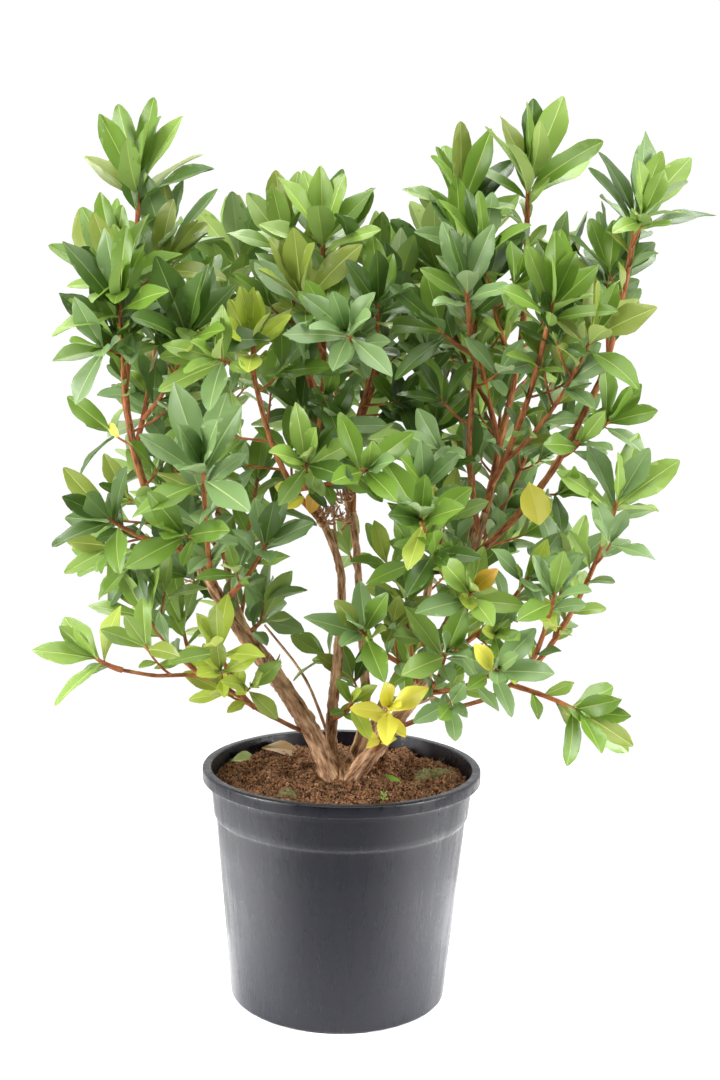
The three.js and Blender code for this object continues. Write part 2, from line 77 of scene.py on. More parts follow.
# The pot's outline, in millimetres, as in the frame.
POT_BASE_RADIUS = 136
POT_BASE_EDGE = 5
POT_WALL = 3
POT_FLOOR = 4
POT_TAPER = 0.092
POT_LEDGE_HEIGHT = 234
POT_LEDGE_STEP = 2.8
POT_RIM_WIDTH = 11
POT_RIM_DEPTH = 15.5
POT_SIDES = 144

SOIL_LEVEL = 274
SOIL_GAP = 0.3

# Blades face the crown's front or back, away from the depth MIDDLE. FACING is small beside half the
# crown's width, so that few of them face its sides.
CROWN_HALF_WIDTH = 400
MIDDLE = 70
FACING = 170

# Shoots: a shoot first reaches outwards and then turns up, and the next one forks from the leader.
SHOOT_RADII = (3.6, 2.3)
FORK_RADII = (3.0, 2.0)
FIRST_FORK = 0.16
FORK_STEP = 0.2
BEND_ACROSS = 0.62
BEND_UP = 0.36
BARE_LEADER_RADII = (4.0, 2.9)

# Side twigs of the frame's rule: spacing, first share, span, length, spread of the length, lean.
TWIG_SPACING = 190
TWIG_FIRST = 0.45
TWIG_SPAN = 0.4
TWIG_LENGTH = 46
TWIG_SPREAD = 0.2
TWIG_LEAN = math.radians(48)
TWIG_RADII = (1.7, 1.3)

# Finer twigs between them, and twigs on bare limbs: first share, span, lean in degrees, turn between
# neighbours, length, radii. A lean or length is its least value and how much chance adds.
FINE_FIRST = 0.3
FINE_SPAN = 0.5
FINE_LEAN = (38, 20)
FINE_TURN = 2.4
FINE_LENGTH = (26, 30)
FINE_RADII = (1.6, 1.2)
BOUGH_TWIG_FIRST = 0.25
BOUGH_TWIG_SPAN = 0.7
BOUGH_TWIG_LEAN = (45, 25)
BOUGH_TWIG_LENGTH = (30, 35)
BOUGH_TWIG_RADII = (1.8, 1.3)
LEAFY_TWIG_RADII = (1.9, 1.3)

# A leaf is left out if it would keep less than this share of its length within its mass's box.
LEAST_LENGTH = 0.72

# Leaf length in millimetres at which a whorl has its full number of leaves, share of that length on
# twigs, and extra leaves of a sparse leader's whorl.
FULL_SIZE = 86
TWIG_SIZE = 0.8
SPARSE_EXTRA = 3

# Pointed leaves of a bud: most buds are small.
SMALL_BUD = 4
FULL_BUD = 9
FULL_BUD_SHARE = 0.2

# The frame's leaf places, which use up random numbers in the same order.
FRAME_WHORL = 5
FRAME_TWIG_WHORL = 3
FRAME_BARE = 0.4
FRAME_FIRST_GAP = 56
FRAME_SPACING = 66

# Stems: name, radii, path.
STEMS = [
    ("left_stem", (12.5, 6.5), [(-7, 16, 262), (-42, 2, 343), (-138, -28, 486), (-173, -40, 548)]),
    ("center_left_stem", (7.5, 4.2),
     [(-11, 29, 262), (-14, 24, 342), (-6, 15, 471), (-7, 8, 544), (-36, 8, 620)]),
    ("center_right_stem", (6.2, 4.4),
     [(3, 38, 262), (28, 60, 344), (24, 72, 425), (15, 74, 534), (7, 66, 610)]),
    ("right_stem", (10.5, 4.8),
     [(3, 14, 262), (54, -8, 336), (99, -16, 410), (136, -18, 505), (170, -12, 621)]),
    ("right_inner_stem", (6.5, 4.2),
     [(11, 26, 262), (56, 46, 377), (91, 60, 441), (106, 78, 507), (115, 90, 577)]),
    ("back_left_stem", (7, 4.2),
     [(-12, 38, 262), (-41, 88, 322), (-90, 132, 386), (-142, 162, 450), (-176, 188, 590)]),
    ("back_right_stem", (7, 4.2),
     [(6, 46, 262), (56, 90, 320), (106, 132, 380), (146, 162, 464), (172, 188, 590)]),
]

# Boughs: name, parent, share of the parent's length, radii, path from there.
BOUGHS = [
    ("left_bough", "left_stem", 1, (6.2, 4), [(-217, -38, 591), (-249, -30, 657), (-273, -12, 752)]),
    ("left_low_bough", "left_stem", 0.22, (3.0, 2.2),
     [(-106, -25, 372), (-168, -52, 417), (-229, -70, 422), (-265, -80, 430)]),
    ("center_left_bough", "center_left_stem", 0.93, (3.8, 3),
     [(-67, -18, 650), (-93, -42, 708), (-114, -50, 787)]),
    ("center_mid_bough", "center_left_stem", 1, (3.9, 3), [(-38, 2, 689), (-31, -5, 784)]),
    ("center_right_bough", "center_right_stem", 1, (4, 3), [(8, 56, 710), (32, 20, 800)]),
    ("right_leader_bough", "right_stem", 1, (4.6, 3.6), [(188, 5, 711), (205, 15, 800), (212, 20, 861)]),
    ("right_middle_bough", "right_stem", 0.93, (3.8, 3), [(146, -42, 695), (150, -50, 801)]),
    ("right_bough", "right_stem", 0.85, (4.6, 3.8),
     [(207, -45, 624), (249, -65, 689), (297, -60, 787)]),
    ("right_low_bough", "right_stem", 0.25, (3.2, 2.4),
     [(110, -50, 376), (184, -95, 414), (229, -110, 456)]),
]

# Masses of foliage: name, limb, share of its length, leaf length, tone, tips of the leader and of the
# shoots that fork from it. The frame's node has the name and the ending _foliage. The deep tone of the
# masses inside and at the back of the crown is painted shade: darker leaves where the crown shades them.
MASSES = [
    ("left_leader", "left_bough", 1, 92, "mid", [(-257, 0, 1011)]),
    ("left_outer", "left_bough", 0.86, 86, "mid", [(-276, -50, 908), (-266, -95, 868), (-276, -60, 832)]),
    ("left_inner", "left_bough", 0.72, 86, "mid", [(-223, 18, 938), (-185, -90, 833)]),
    ("left_side", "left_bough", 0.16, 74, "mid", [(-278, -100, 616), (-284, 30, 551)]),
    ("left_front", "left_stem", 0.93, 96, "bluish", [(-163, -150, 683)]),
    ("left_middle", "left_stem", 0.86, 66, "mid", [(-94, -80, 588), (-112, 20, 655)]),
    ("left_behind", "left_stem", 0.7, 72, "deep", [(-106, 110, 460), (-205, 90, 552)]),
    ("left_low", "left_low_bough", 1, 68, "fresh", [(-296, -90, 447)]),
    ("left_low_upper", "left_low_bough", 0.62, 72, "fresh", [(-246, -20, 489), (-205, 20, 470)]),
    ("left_low_front", "left_low_bough", 0.34, 62, "lime", [(-149, -95, 465)]),

    ("center_left", "center_left_bough", 1, 70, "fresh", [(-113, -70, 828), (-150, -120, 806)]),
    ("center_upper_left", "center_mid_bough", 0.7, 84, "mid", [(-81, 32, 946), (-64, 96, 850)]),
    ("center_leader", "center_mid_bough", 1, 84, "mid", [(-35, 0, 957), (-58, -40, 880)]),
    ("center_right", "center_right_bough", 1, 76, "mid", [(33, -40, 872), (-4, -108, 838)]),
    ("center_back", "center_right_bough", 0.5, 76, "deep", [(55, 90, 888), (32, 140, 922)]),
    ("center_dark", "right_inner_stem", 1, 72, "deep", [(95, 40, 819), (106, 0, 728)]),
    ("center_front", "center_left_bough", 0.3, 72, "mid", [(24, -150, 685), (-46, -130, 690)]),
    ("center_low", "right_stem", 0.47, 70, "mid", [(19, -110, 492)]),
    ("low_shoot", "center_left_stem", 0.24, 46, "fresh", [(12, -42, 388)]),
    ("yellow_shoot", "right_stem", 0.17, 56, "yellow", [(55, -95, 395)]),

    ("right_leader", "right_leader_bough", 1, 94, "mid", [(212, 20, 1030), (234, 40, 908)]),
    ("right_inner", "right_leader_bough", 0.35, 88, "mid", [(131, 28, 996), (105, 118, 928)]),
    ("right_upper", "right_leader_bough", 0.72, 78, "mid", [(156, -34, 939)]),
    ("right_middle", "right_middle_bough", 1, 74, "deep", [(134, -90, 895), (104, -60, 846)]),
    ("right_side", "right_leader_bough", 0.14, 76, "mid", [(230, -130, 878), (276, -128, 840)]),
    ("right_outer", "right_bough", 1, 88, "mid", [(334, -50, 986), (312, 16, 909), (280, 36, 880)]),
    ("right_edge", "right_bough", 0.68, 66, "mid", [(306, -84, 742)]),
    ("right_front", "right_stem", 0.52, 70, "fresh", [(214, -120, 560), (146, -140, 545)]),
    ("right_front_low", "right_stem", 0.4, 66, "bluish", [(177, -170, 460), (120, -128, 470)]),
    ("right_front_upper", "right_stem", 0.74, 74, "mid", [(85, -160, 632), (90, -92, 664)]),
    ("right_low", "right_low_bough", 1, 76, "bluish", [(314, -120, 652), (262, -58, 560)]),
    ("right_low_upper", "right_low_bough", 0.92, 66, "fresh", [(240, -160, 548)]),
    ("right_drooping", "right_low_bough", 0.82, 70, "mid", [(279, -150, 406)]),

    ("back_left_top", "back_left_stem", 1, 86, "mid", [(-146, 150, 935), (-196, 205, 868)]),
    ("back_left_side", "back_left_stem", 0.84, 82, "deep", [(-262, 140, 760), (-210, 225, 716)]),
    ("back_left_low", "back_left_stem", 0.55, 76, "deep", [(-224, 168, 590), (-128, 258, 590)]),
    ("back_middle", "center_right_stem", 0.9, 84, "mid",
     [(-30, 205, 880), (20, 245, 770), (-62, 232, 722)]),
    ("back_right_top", "back_right_stem", 1, 86, "mid", [(150, 190, 960), (92, 232, 872)]),
    ("back_right_side", "back_right_stem", 0.84, 82, "deep", [(268, 150, 792), (206, 228, 752)]),
    ("back_right_low", "back_right_stem", 0.55, 76, "deep", [(214, 186, 600), (140, 262, 590)]),
]

# Shoots whose whorl turns out of the crown, and how far.
SPLAY = {
    "yellow_shoot": 1.6,
    "center_low": 1.1,
    "left_front": 0.7,
    "center_front": 0.6,
    "right_front": 0.9,
    "right_front_low": 0.9,
    "right_front_upper": 0.7,
    "center_left": 0.4,
}

# Masses whose leader is stout and shows between small, sparse leaves.
BARE_LEADERS = ("left_leader", "left_outer", "center_leader", "center_left", "right_leader",
                "right_outer", "right_middle", "right_side")

# How much further apart a mass's fine twigs stand. Below 1 they stand closer, as in other masses of a
# deep tone.
TWIG_THINNING = {
    "left_leader": 2.2,
    "left_outer": 1.6,
    "left_inner": 1.5,
    "center_leader": 1.3,
    "center_upper_left": 0.8,
    "center_left": 0.8,
    "center_right": 1.2,
    "center_front": 1.5,
    "left_front": 9.0,
    "right_leader": 2.2,
    "right_side": 1.6,
    "right_outer": 1.8,
    "right_low": 3.0,
    "right_low_upper": 2.5,
    "right_drooping": 3.0,
    "right_front": 1.5,
    "right_front_low": 9.0,
    "yellow_shoot": 9.0,
    "low_shoot": 9.0,
}
DEEP_THINNING = 0.85

# Short leafy twigs on boughs and stems: how many, leaf length and tone. The deep tone of the twigs on
# the inner boughs is painted shade.
BOUGH_TWIGS = {
    "left_bough": (5, 62, "mid"),
    "center_left_bough": (5, 60, "mid"),
    "center_mid_bough": (5, 60, "deep"),
    "center_right_bough": (5, 62, "deep"),
    "right_leader_bough": (3, 58, "mid"),
    "right_middle_bough": (4, 60, "deep"),
    "right_bough": (2, 58, "mid"),
    "right_inner_stem": (4, 54, "mid"),
    "left_low_bough": (3, 56, "lime"),
    "right_stem": (5, 56, "mid"),
    "center_right_stem": (2, 54, "fresh"),
}

# Single leafy twigs: limb, share of its length, tip, leaf length and tone.
LEAFY_TWIGS = [
    ("right_stem", 0.6, (50, -50, 562), 58, "fresh"),
    ("right_stem", 0.42, (74, -60, 520), 54, "mid"),
]

# Tints of leaves: upper side, midrib and underside.
TINTS = {
    "deep": ("486622", "849c4c", "6a884c"),
    "bluish": ("7c9a5e", "b4c684", "9aae7c"),
    "mid": ("6e9030", "abbf60", "88a452"),
    "olive": ("88983e", "bcc870", "9cac60"),
    "fresh": ("8aa94a", "c6d47e", "a4b86a"),
    "lime": ("aabc44", "d6dc7c", "b8c466"),
    "yellow": ("e6de50", "f2ea80", "e6de7c"),
    "amber": ("d8a43c", "e8ca78", "d4b470"),
    "dry": ("8e7246", "b0946a", "a08258"),
}

# Which tints a shoot of each tone takes, from most to least likely.
TONES = {
    "deep": ("deep", "mid", "deep", "bluish"),
    "bluish": ("bluish", "bluish", "mid", "fresh"),
    "mid": ("mid", "fresh", "mid", "olive", "bluish", "deep"),
    "fresh": ("fresh", "mid", "fresh", "bluish", "lime"),
    "lime": ("lime", "fresh", "lime", "olive"),
    "yellow": ("yellow",),
}

# Fallen leaves: tint, and the places of stalk and tip.
LITTER = [
    ("olive", ((-146, 52), (-98, 96))),
    ("dry", ((-108, 98), (-54, 118))),
    ("mid", ((46, 22), (76, -12))),
]

# Lumps of moss: middle, half size, turn and seed.
MOSS = [
    ((122, 28), (30, 9, 8), 0.1, 2),
    ((104, 20), (12, 9, 9), 0.4, 9),
    ((-66, -70), (15, 10, 10), 0.3, 5),
    ((20, -98), (13, 8, 5), 0.2, 14),
]
SEEDLING = (51, -92)

# Knots of dead twigs on the stems: middle and spread.
DEAD_KNOTS = [
    ((-30, 2, 606), 12),
    ((150, -22, 570), 16),
    ((-4, 52, 600), 9),
    ((-91, -34, 430), 8),
    ((-18, 8, 616), 16),
    ((-2, 40, 632), 16),
]

# Thin bare twigs that rise between the stems.
BARE_TWIGS = [
    [(-16, 30, 320), (-50, 60, 392), (-106, 108, 452)],
    [(52, -6, 344), (66, -34, 372), (112, -52, 398)],
    [(-8, 8, 540), (-15, 8, 600), (-20, 2, 672)],
    [(14, 73, 556), (0, 58, 612), (-14, 40, 690)],
]

# Where single leaves at the front have turned lime, yellow or amber.
OLD_LEAVES = [
    ("amber", (170, -140, 572)),
    ("yellow", (148, -140, 498)),
    ("yellow", (-292, -60, 712)),
    ("lime", (70, -60, 590)),
]

# Old leaves that hang from a limb: tint, root, tip and share of the length that the blade is wide.
HANGING_LEAVES = [
    ("yellow", (217, -62, 666), (226, -112, 628), 0.6),
    ("yellow", (-58, -14, 642), (-85, -42, 652), 0.5),
    ("amber", (-37, 0, 648), (-44, -30, 622), 0.5),
    ("yellow", (-52, -14, 637), (-72, -44, 628), 0.5),
]
HANGING_FACE = np.array([0, -0.9, 0.4])


def colour(code):
    """A web colour as linear red, green, blue and 1."""
    parts = [int(code[i:i + 2], 16) / 255 for i in (0, 2, 4)]
    return (*[c / 12.92 if c <= 0.04045 else ((c + 0.055) / 1.055) ** 2.4 for c in parts], 1.0)


def unit(vector):
    """The direction of a vector."""
    return vector / max(np.linalg.norm(vector), 1e-9)


class Draws:
    """Repeatable random numbers from 0 to 1, as the frame draws them."""

    def __init__(self, seed):
        self.state = seed & 0xFFFFFFFF

    def __call__(self):
        self.state = (self.state + 0x6D2B79F5) & 0xFFFFFFFF
        mixed = (self.state ^ (self.state >> 15)) * (self.state | 1) & 0xFFFFFFFF
        mixed ^= (mixed + ((mixed ^ (mixed >> 7)) * (mixed | 61) & 0xFFFFFFFF)) & 0xFFFFFFFF
        return ((mixed ^ (mixed >> 14)) & 0xFFFFFFFF) / 4294967296


# ---------------------------------------------------------------- lines and tubes


class Line:
    """A line through space that is measured along its length, in millimetres."""

    def __init__(self, points):
        self.points = np.asarray(points, float)
        steps = np.linalg.norm(np.diff(self.points, axis=0), axis=1)
        self.lengths = np.concatenate([[0], np.cumsum(steps)])
        self.length = self.lengths[-1]

    def at(self, share):
        distance = np.clip(share, 0, 1) * self.length
        return np.stack([np.interp(distance, self.lengths, x) for x in self.points.T], -1)

    def direction(self, share):
        step = 0.01
        return unit(self.at(min(share + step, 1)) - self.at(max(share - step, 0)))


def curved_line(points, steps=24):
    """The centripetal curve through some points that the frame's limbs follow."""
    p = np.asarray(points, float)
    p = np.vstack([2 * p[0] - p[1], p, 2 * p[-1] - p[-2]])
    t = np.linspace(0, 1, steps, endpoint=False)[:, None]
    stretches = []
    for a, b, c, d in zip(p, p[1:], p[2:], p[3:]):
        before, here, after = (np.linalg.norm(y - x) ** 0.5 for x, y in ((a, b), (b, c), (c, d)))
        start = here * ((b - a) / before - (c - a) / (before + here) + (c - b) / here)
        end = here * ((c - b) / here - (d - b) / (here + after) + (d - c) / after)
        curve = b + start * t + (3 * (c - b) - 2 * start - end) * t**2
        stretches.append(curve + (2 * (b - c) + start + end) * t**3)
    return Line(np.vstack(stretches + [p[-2:-1]]))


def shoot_line(start, tip, steps=16):
    """A shoot's arc, which first reaches across and then turns up."""
    start, tip = np.asarray(start, float), np.asarray(tip, float)
    reach = np.array([BEND_ACROSS, BEND_ACROSS, BEND_UP])
    bend = start + (tip - start) * reach
    t = np.linspace(0, 1, steps)[:, None]
    return Line((1 - t) ** 2 * start + 2 * t * (1 - t) * bend + t**2 * tip)


def cross_axes(axis):
    """Two directions square to an axis, chosen as in the frame."""
    guide = np.array([0.0, 1, 0]) if abs(axis[1]) < 0.85 else np.array([1.0, 0, 0])
    across = unit(np.cross(guide, axis))
    return across, np.cross(axis, across)


def leaning(axis, lean, turn):
    """A direction that leans from an axis, turned round it."""
    across, over = cross_axes(axis)
    outward = across * math.cos(turn) + over * math.sin(turn)
    return axis * math.cos(lean) + outward * math.sin(lean)


class Batch:
    """Gathers closed shapes, in millimetres, into one mesh."""

    def __init__(self):
        self.points, self.grain = [], []
        self.faces = {3: [], 4: []}
        self.slots = {3: [], 4: []}
        self.count = 0

    def add(self, points, quads, triangles, quad_slots=0, triangle_slots=0, grain=None):
        self.points.append(points)
        self.grain.append(points if grain is None else grain)
        for faces, slots in ((quads, quad_slots), (triangles, triangle_slots)):
            faces = np.asarray(faces, int)
            if len(faces):
                self.faces[faces.shape[1]].append(faces + self.count)
                self.slots[faces.shape[1]].append(np.broadcast_to(slots, len(faces)))
        self.count += len(points)

    def build(self, name, materials, sharp=80):
        """The finished object, at the origin, in metres."""
        mesh = bpy.data.meshes.new(name)
        points = np.concatenate(self.points) * MM
        corners, starts, slots, at = [], [], [], 0
        for size in (3, 4):
            if self.faces[size]:
                faces = np.concatenate(self.faces[size])
                corners.append(faces.ravel())
                starts.append(at + size * np.arange(len(faces)))
                slots.append(np.concatenate(self.slots[size]))
                at += faces.size
        mesh.vertices.add(len(points))
        mesh.vertices.foreach_set("co", points.astype(np.float32).ravel())
        mesh.loops.add(at)
        mesh.polygons.add(sum(map(len, starts)))
        mesh.polygons.foreach_set("loop_start", np.concatenate(starts).astype(np.int32))
        mesh.loops.foreach_set("vertex_index", np.concatenate(corners).astype(np.int32))
        mesh.polygons.foreach_set("material_index", np.concatenate(slots).astype(np.int32))
        grain = mesh.attributes.new("grain", "FLOAT_VECTOR", "POINT")
        grain.data.foreach_set("vector", (np.concatenate(self.grain) * MM).astype(np.float32).ravel())
        mesh.update(calc_edges=True)
        mesh.validate()
        mesh.polygons.foreach_set("use_smooth", np.ones(len(mesh.polygons), bool))
        mesh.set_sharp_from_angle(angle=math.radians(sharp))
        for material in materials:
            mesh.materials.append(material)
        return add_object(name, mesh)


def add_object(name, mesh):
    piece = bpy.data.objects.new(name, mesh)
    bpy.context.scene.collection.objects.link(piece)
    return piece


def finish_piece(piece, nodes=()):
    """Hands a piece to the frame, with the nodes that it stands for."""
    if nodes:
        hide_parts(*nodes)
    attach(piece, ROOT)


def nodes_named(ending):
    """The frame's nodes whose names have an ending."""
    return [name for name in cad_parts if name.endswith(ending)]


def ring_quads(rings, sides, inward=False):
    """Quads between neighbouring rings of points. inward turns them over, for rings that widen."""
    at = np.arange(sides)
    after = (at + 1) % sides
    row = (np.arange(rings - 1) * sides)[:, None]
    second, fourth = (row + sides + at, row + after) if inward else (row + after, row + sides + at)
    return np.stack([row + at, second, row + sides + after, fourth], -1).reshape(-1, 4)


def tube(batch, line, radii, sides, step, relief=None):
    """Adds a tapering limb with rounded ends. radii are for evenly spaced places along it, and relief
    gives the bark's height for angles and lengths."""
    rings = max(3, int(line.length / step) + 1)
    shares = np.linspace(0, 1, rings)
    centres = line.at(shares)
    tangents = np.gradient(centres, axis=0)
    tangents /= np.linalg.norm(tangents, axis=1)[:, None]
    angles = np.arange(sides) * 2 * math.pi / sides
    radius = np.interp(shares, np.linspace(0, 1, len(radii)), radii)
    across, _ = cross_axes(tangents[0])
    points, grain = [], []
    for i in range(rings):
        across = unit(across - tangents[i] * np.dot(across, tangents[i]))
        over = np.cross(tangents[i], across)
        height = relief(angles, shares[i] * line.length, radius[i]) if relief else 0
        skin = np.broadcast_to(radius[i] + height, sides)[:, None]
        round_way = np.cos(angles)[:, None] * across + np.sin(angles)[:, None] * over
        points.append(centres[i] + skin * round_way)
        along = np.full(sides, shares[i] * line.length)
        grain.append(np.stack([np.cos(angles) * radius[i], np.sin(angles) * radius[i], along], 1))
    for i, sign in ((0, -1), (rings - 1, 1)):
        points.append((centres[i] + sign * 0.5 * radius[i] * tangents[i])[None])
        grain.append(np.array([[0, 0, shares[i] * line.length]]))
    at = np.arange(sides)
    after = (at + 1) % sides
    last = (rings - 1) * sides
    foot, tip = rings * sides, rings * sides + 1
    caps = [np.stack([after, at, np.full(sides, foot)], 1),
            np.stack([last + at, last + after, np.full(sides, tip)], 1)]
    batch.add(np.vstack(points), ring_quads(rings, sides), np.vstack(caps), grain=np.vstack(grain))


# ---------------------------------------------------------------- the plant's growth


def grow_limbs():
    """The lines of the stems and boughs, by name."""
    lines = {name: curved_line(path) for name, _, path in STEMS}
    for name, parent, at, _, path in BOUGHS:
        lines[name] = curved_line([lines[parent].at(at), *path])
    return lines


class Shoot:
    """One leafy shoot: its line, radii, the frame's leaf count at its tip, whether it is more than a
    twig, the turn of its first leaf and whether its leaves are sparse."""

    def __init__(self, line, radii, whorl, leafy):
        self.line, self.radii, self.whorl, self.leafy = line, radii, whorl, leafy
        self.turn = 0.0
        self.sparse = False


def new_twig(line, share, along, length, radii, steps=16):
    """A twig that leaves a line at a share of its length, in a direction."""
    foot = line.at(share)
    return Shoot(shoot_line(foot, foot + along * length, steps), radii, FRAME_TWIG_WHORL, False)


def side_twigs(shoot, draw):
    """The side twigs that the frame's rule puts on a shoot."""
    count = int(shoot.line.length // TWIG_SPACING)
    turn = draw() * 2 * math.pi
    twigs = []
    for i in range(count):
        share = TWIG_FIRST + TWIG_SPAN * (i + draw() / 2) / count
        along = leaning(shoot.line.direction(share), TWIG_LEAN, turn + i * GOLDEN_ANGLE)
        length = TWIG_LENGTH * (1 + TWIG_SPREAD * (2 * draw() - 1))
        twigs.append(new_twig(shoot.line, share, along, length, TWIG_RADII))
    return twigs


def chance(least_and_spread, draw):
    """A random number from its least value and how much chance adds."""
    least, spread = least_and_spread
    return least + spread * draw()


def fine_twigs(shoots, spacing, draw):
    """Finer twigs between the frame's own, on the shoots that are long enough."""
    twigs = []
    for shoot in shoots:
        count = int(shoot.line.length // spacing) if shoot.leafy else 0
        turn = draw() * 2 * math.pi
        for i in range(count):
            share = FINE_FIRST + FINE_SPAN * (i + draw()) / count
            lean = math.radians(chance(FINE_LEAN, draw))
            along = leaning(shoot.line.direction(share), lean, turn + i * FINE_TURN)
            twig = new_twig(shoot.line, share, along, chance(FINE_LENGTH, draw), FINE_RADII, 8)
            twig.turn = draw() * 2 * math.pi
            twigs.append(twig)
    return twigs


def bough_twigs(line, count, draw):
    """Short leafy twigs along a limb, none of which hangs."""
    twigs = []
    for i in range(count):
        share = BOUGH_TWIG_FIRST + BOUGH_TWIG_SPAN * (i + 0.7 * draw()) / count
        lean = math.radians(chance(BOUGH_TWIG_LEAN, draw))
        along = leaning(line.direction(share), lean, 2 * math.pi * draw())
        along[2] = abs(along[2])
        twig = new_twig(line, share, along, chance(BOUGH_TWIG_LENGTH, draw), BOUGH_TWIG_RADII, 8)
        twig.turn = draw() * 2 * math.pi
        twigs.append(twig)
    return twigs


def frame_leaf_count(shoot):
    """How many leaves the frame's rule puts on a shoot."""
    span = shoot.line.length * (1 - FRAME_BARE) if shoot.leafy else 0
    below = max(0, math.ceil((span - FRAME_FIRST_GAP) / FRAME_SPACING))
    return shoot.whorl + below


def grow_shoots(limbs, mass, index):
    """The leader, forked shoots and side twigs of a mass, in the frame's order."""
    _, limb, at, _, _, tips = mass
    draw = Draws(SEED + index)
    leader = Shoot(shoot_line(limbs[limb].at(at), tips[0]), SHOOT_RADII, FRAME_WHORL, True)
    shoots = [leader]
    for i, tip in enumerate(tips[1:]):
        fork = leader.line.at(FIRST_FORK + FORK_STEP * i)
        shoots.append(Shoot(shoot_line(fork, tip), FORK_RADII, FRAME_WHORL, True))
    shoots += [twig for shoot in list(shoots) for twig in side_twigs(shoot, draw)]
    for shoot in shoots:
        shoot.turn = draw() * 2 * math.pi
        for _ in range(frame_leaf_count(shoot)):
            draw()
    return shoots, draw


class Leaf:
    """One leaf: root, direction, face, length and the bends of its blade."""

    def __init__(self, root, along, face, length, tint, arch, draw):
        self.root, self.along, self.length, self.tint = root, along, length, tint
        self.face = unit(face - along * np.dot(face, along))
        self.arch = arch * (0.6 + 0.8 * draw())
        self.fold = 0.1 + 0.26 * draw()
        self.twist = 0.9 * (draw() - 0.5)
        self.wave = 0.01 + 0.022 * draw()
        self.phase = 2 * math.pi * draw()
        self.width = 0.455 - 0.0011 * length + 0.08 * (draw() - 0.5)


def keep_inside(root, along, length, low, high):
    """The length that keeps a leaf's tip within a box, or 0 if it would lose too much."""
    tip = along * length
    share = 1.0
    for i in range(3):
        room = (high[i] - root[i]) if tip[i] > 0 else (root[i] - low[i])
        if abs(tip[i]) > room:
            share = min(share, max(room, 0) / abs(tip[i]))
    return length * share if share > LEAST_LENGTH else 0


def outward(place):
    """The level direction out of the crown that blades face, mostly to its front or back."""
    return unit(np.array([place[0] / CROWN_HALF_WIDTH**2, (place[1] - MIDDLE) / FACING**2, 0]))


def leaf_places(shoot, size, settings, draw):
    """Distance from the tip, lean, share of the full length and arch of each leaf of a shoot."""
    count = settings.whorl if shoot.leafy else settings.twig_whorl
    count = max(4, round(count * min(1, size / FULL_SIZE) ** 1.4)) + (SPARSE_EXTRA if shoot.sparse else 0)
    places = []
    for i in range(count):
        # The inner leaves are young and upright, and the outer ones lie flatter and arch more.
        share = i / (count - 1)
        young = 0.9 + 0.1 * min(1, 2.5 * share)
        places.append((0.5 + settings.whorl_step * i, 8 + 54 * share**0.95, young, 0.12 + 0.4 * share))
    span = shoot.line.length * (settings.leafy_share if shoot.leafy else 0.55)
    gap = settings.whorl_step * count + settings.spacing * 0.5
    step, small = (1.3, 0.72) if shoot.sparse else (1, 1)
    while gap < span:
        places.append((gap, 26 + 26 * draw(), small * (0.74 - 0.28 * gap / span), 0.5))
        gap += step * settings.spacing * (0.8 + 0.4 * draw())
    return places


def shoot_leaves(shoot, size, tone, splay, box, settings, draw):
    """The whorl at a shoot's tip, and the single leaves in a spiral below it."""
    tints = TONES[tone]
    main = tints[int(draw() ** 1.5 * len(tints))]
    leaves = []
    for i, (gap, lean, scale, arch) in enumerate(leaf_places(shoot, size, settings, draw)):
        share = 1 - gap / shoot.line.length
        root, axis = shoot.line.at(share), shoot.line.direction(share)
        out = outward(root)
        if gap < settings.whorl_step * settings.whorl:
            axis = unit(axis + splay * out)
        turn = shoot.turn + i * GOLDEN_ANGLE + 0.35 * (draw() - 0.5)
        along = leaning(axis, math.radians(lean + 12 * (draw() - 0.5)), turn)
        droop = max(0, np.dot(along, out)) * math.radians(lean) * settings.droop
        along = unit(along + np.array([0, 0, 0.08 - droop]))
        length = size * scale * settings.scale * (0.84 + 0.3 * draw())
        length = keep_inside(root, along, length, *box)
        tint = main if draw() < 0.55 else tints[int(draw() * len(tints))]
        face = 0.5 * axis + np.array([0, 0, 0.5]) + settings.turn_out * out
        leaf = Leaf(root, along, face, length, tint, arch, draw)
        if length:
            leaves.append(leaf)
    return leaves


def bud_leaves(shoot, tone, count, draw):
    """The small pointed leaves of the bud at a shoot's tip."""
    root, axis = shoot.line.at(1), shoot.line.direction(1)
    leaves = []
    for i in range(count):
        along = leaning(axis, math.radians(6 + 30 * i / count), shoot.turn + i * GOLDEN_ANGLE)
        leaf = Leaf(root, along, axis, 8 + 12 * i / count, tone, 0.1, draw)
        leaf.width *= 0.55
        leaves.append(leaf)
    return leaves


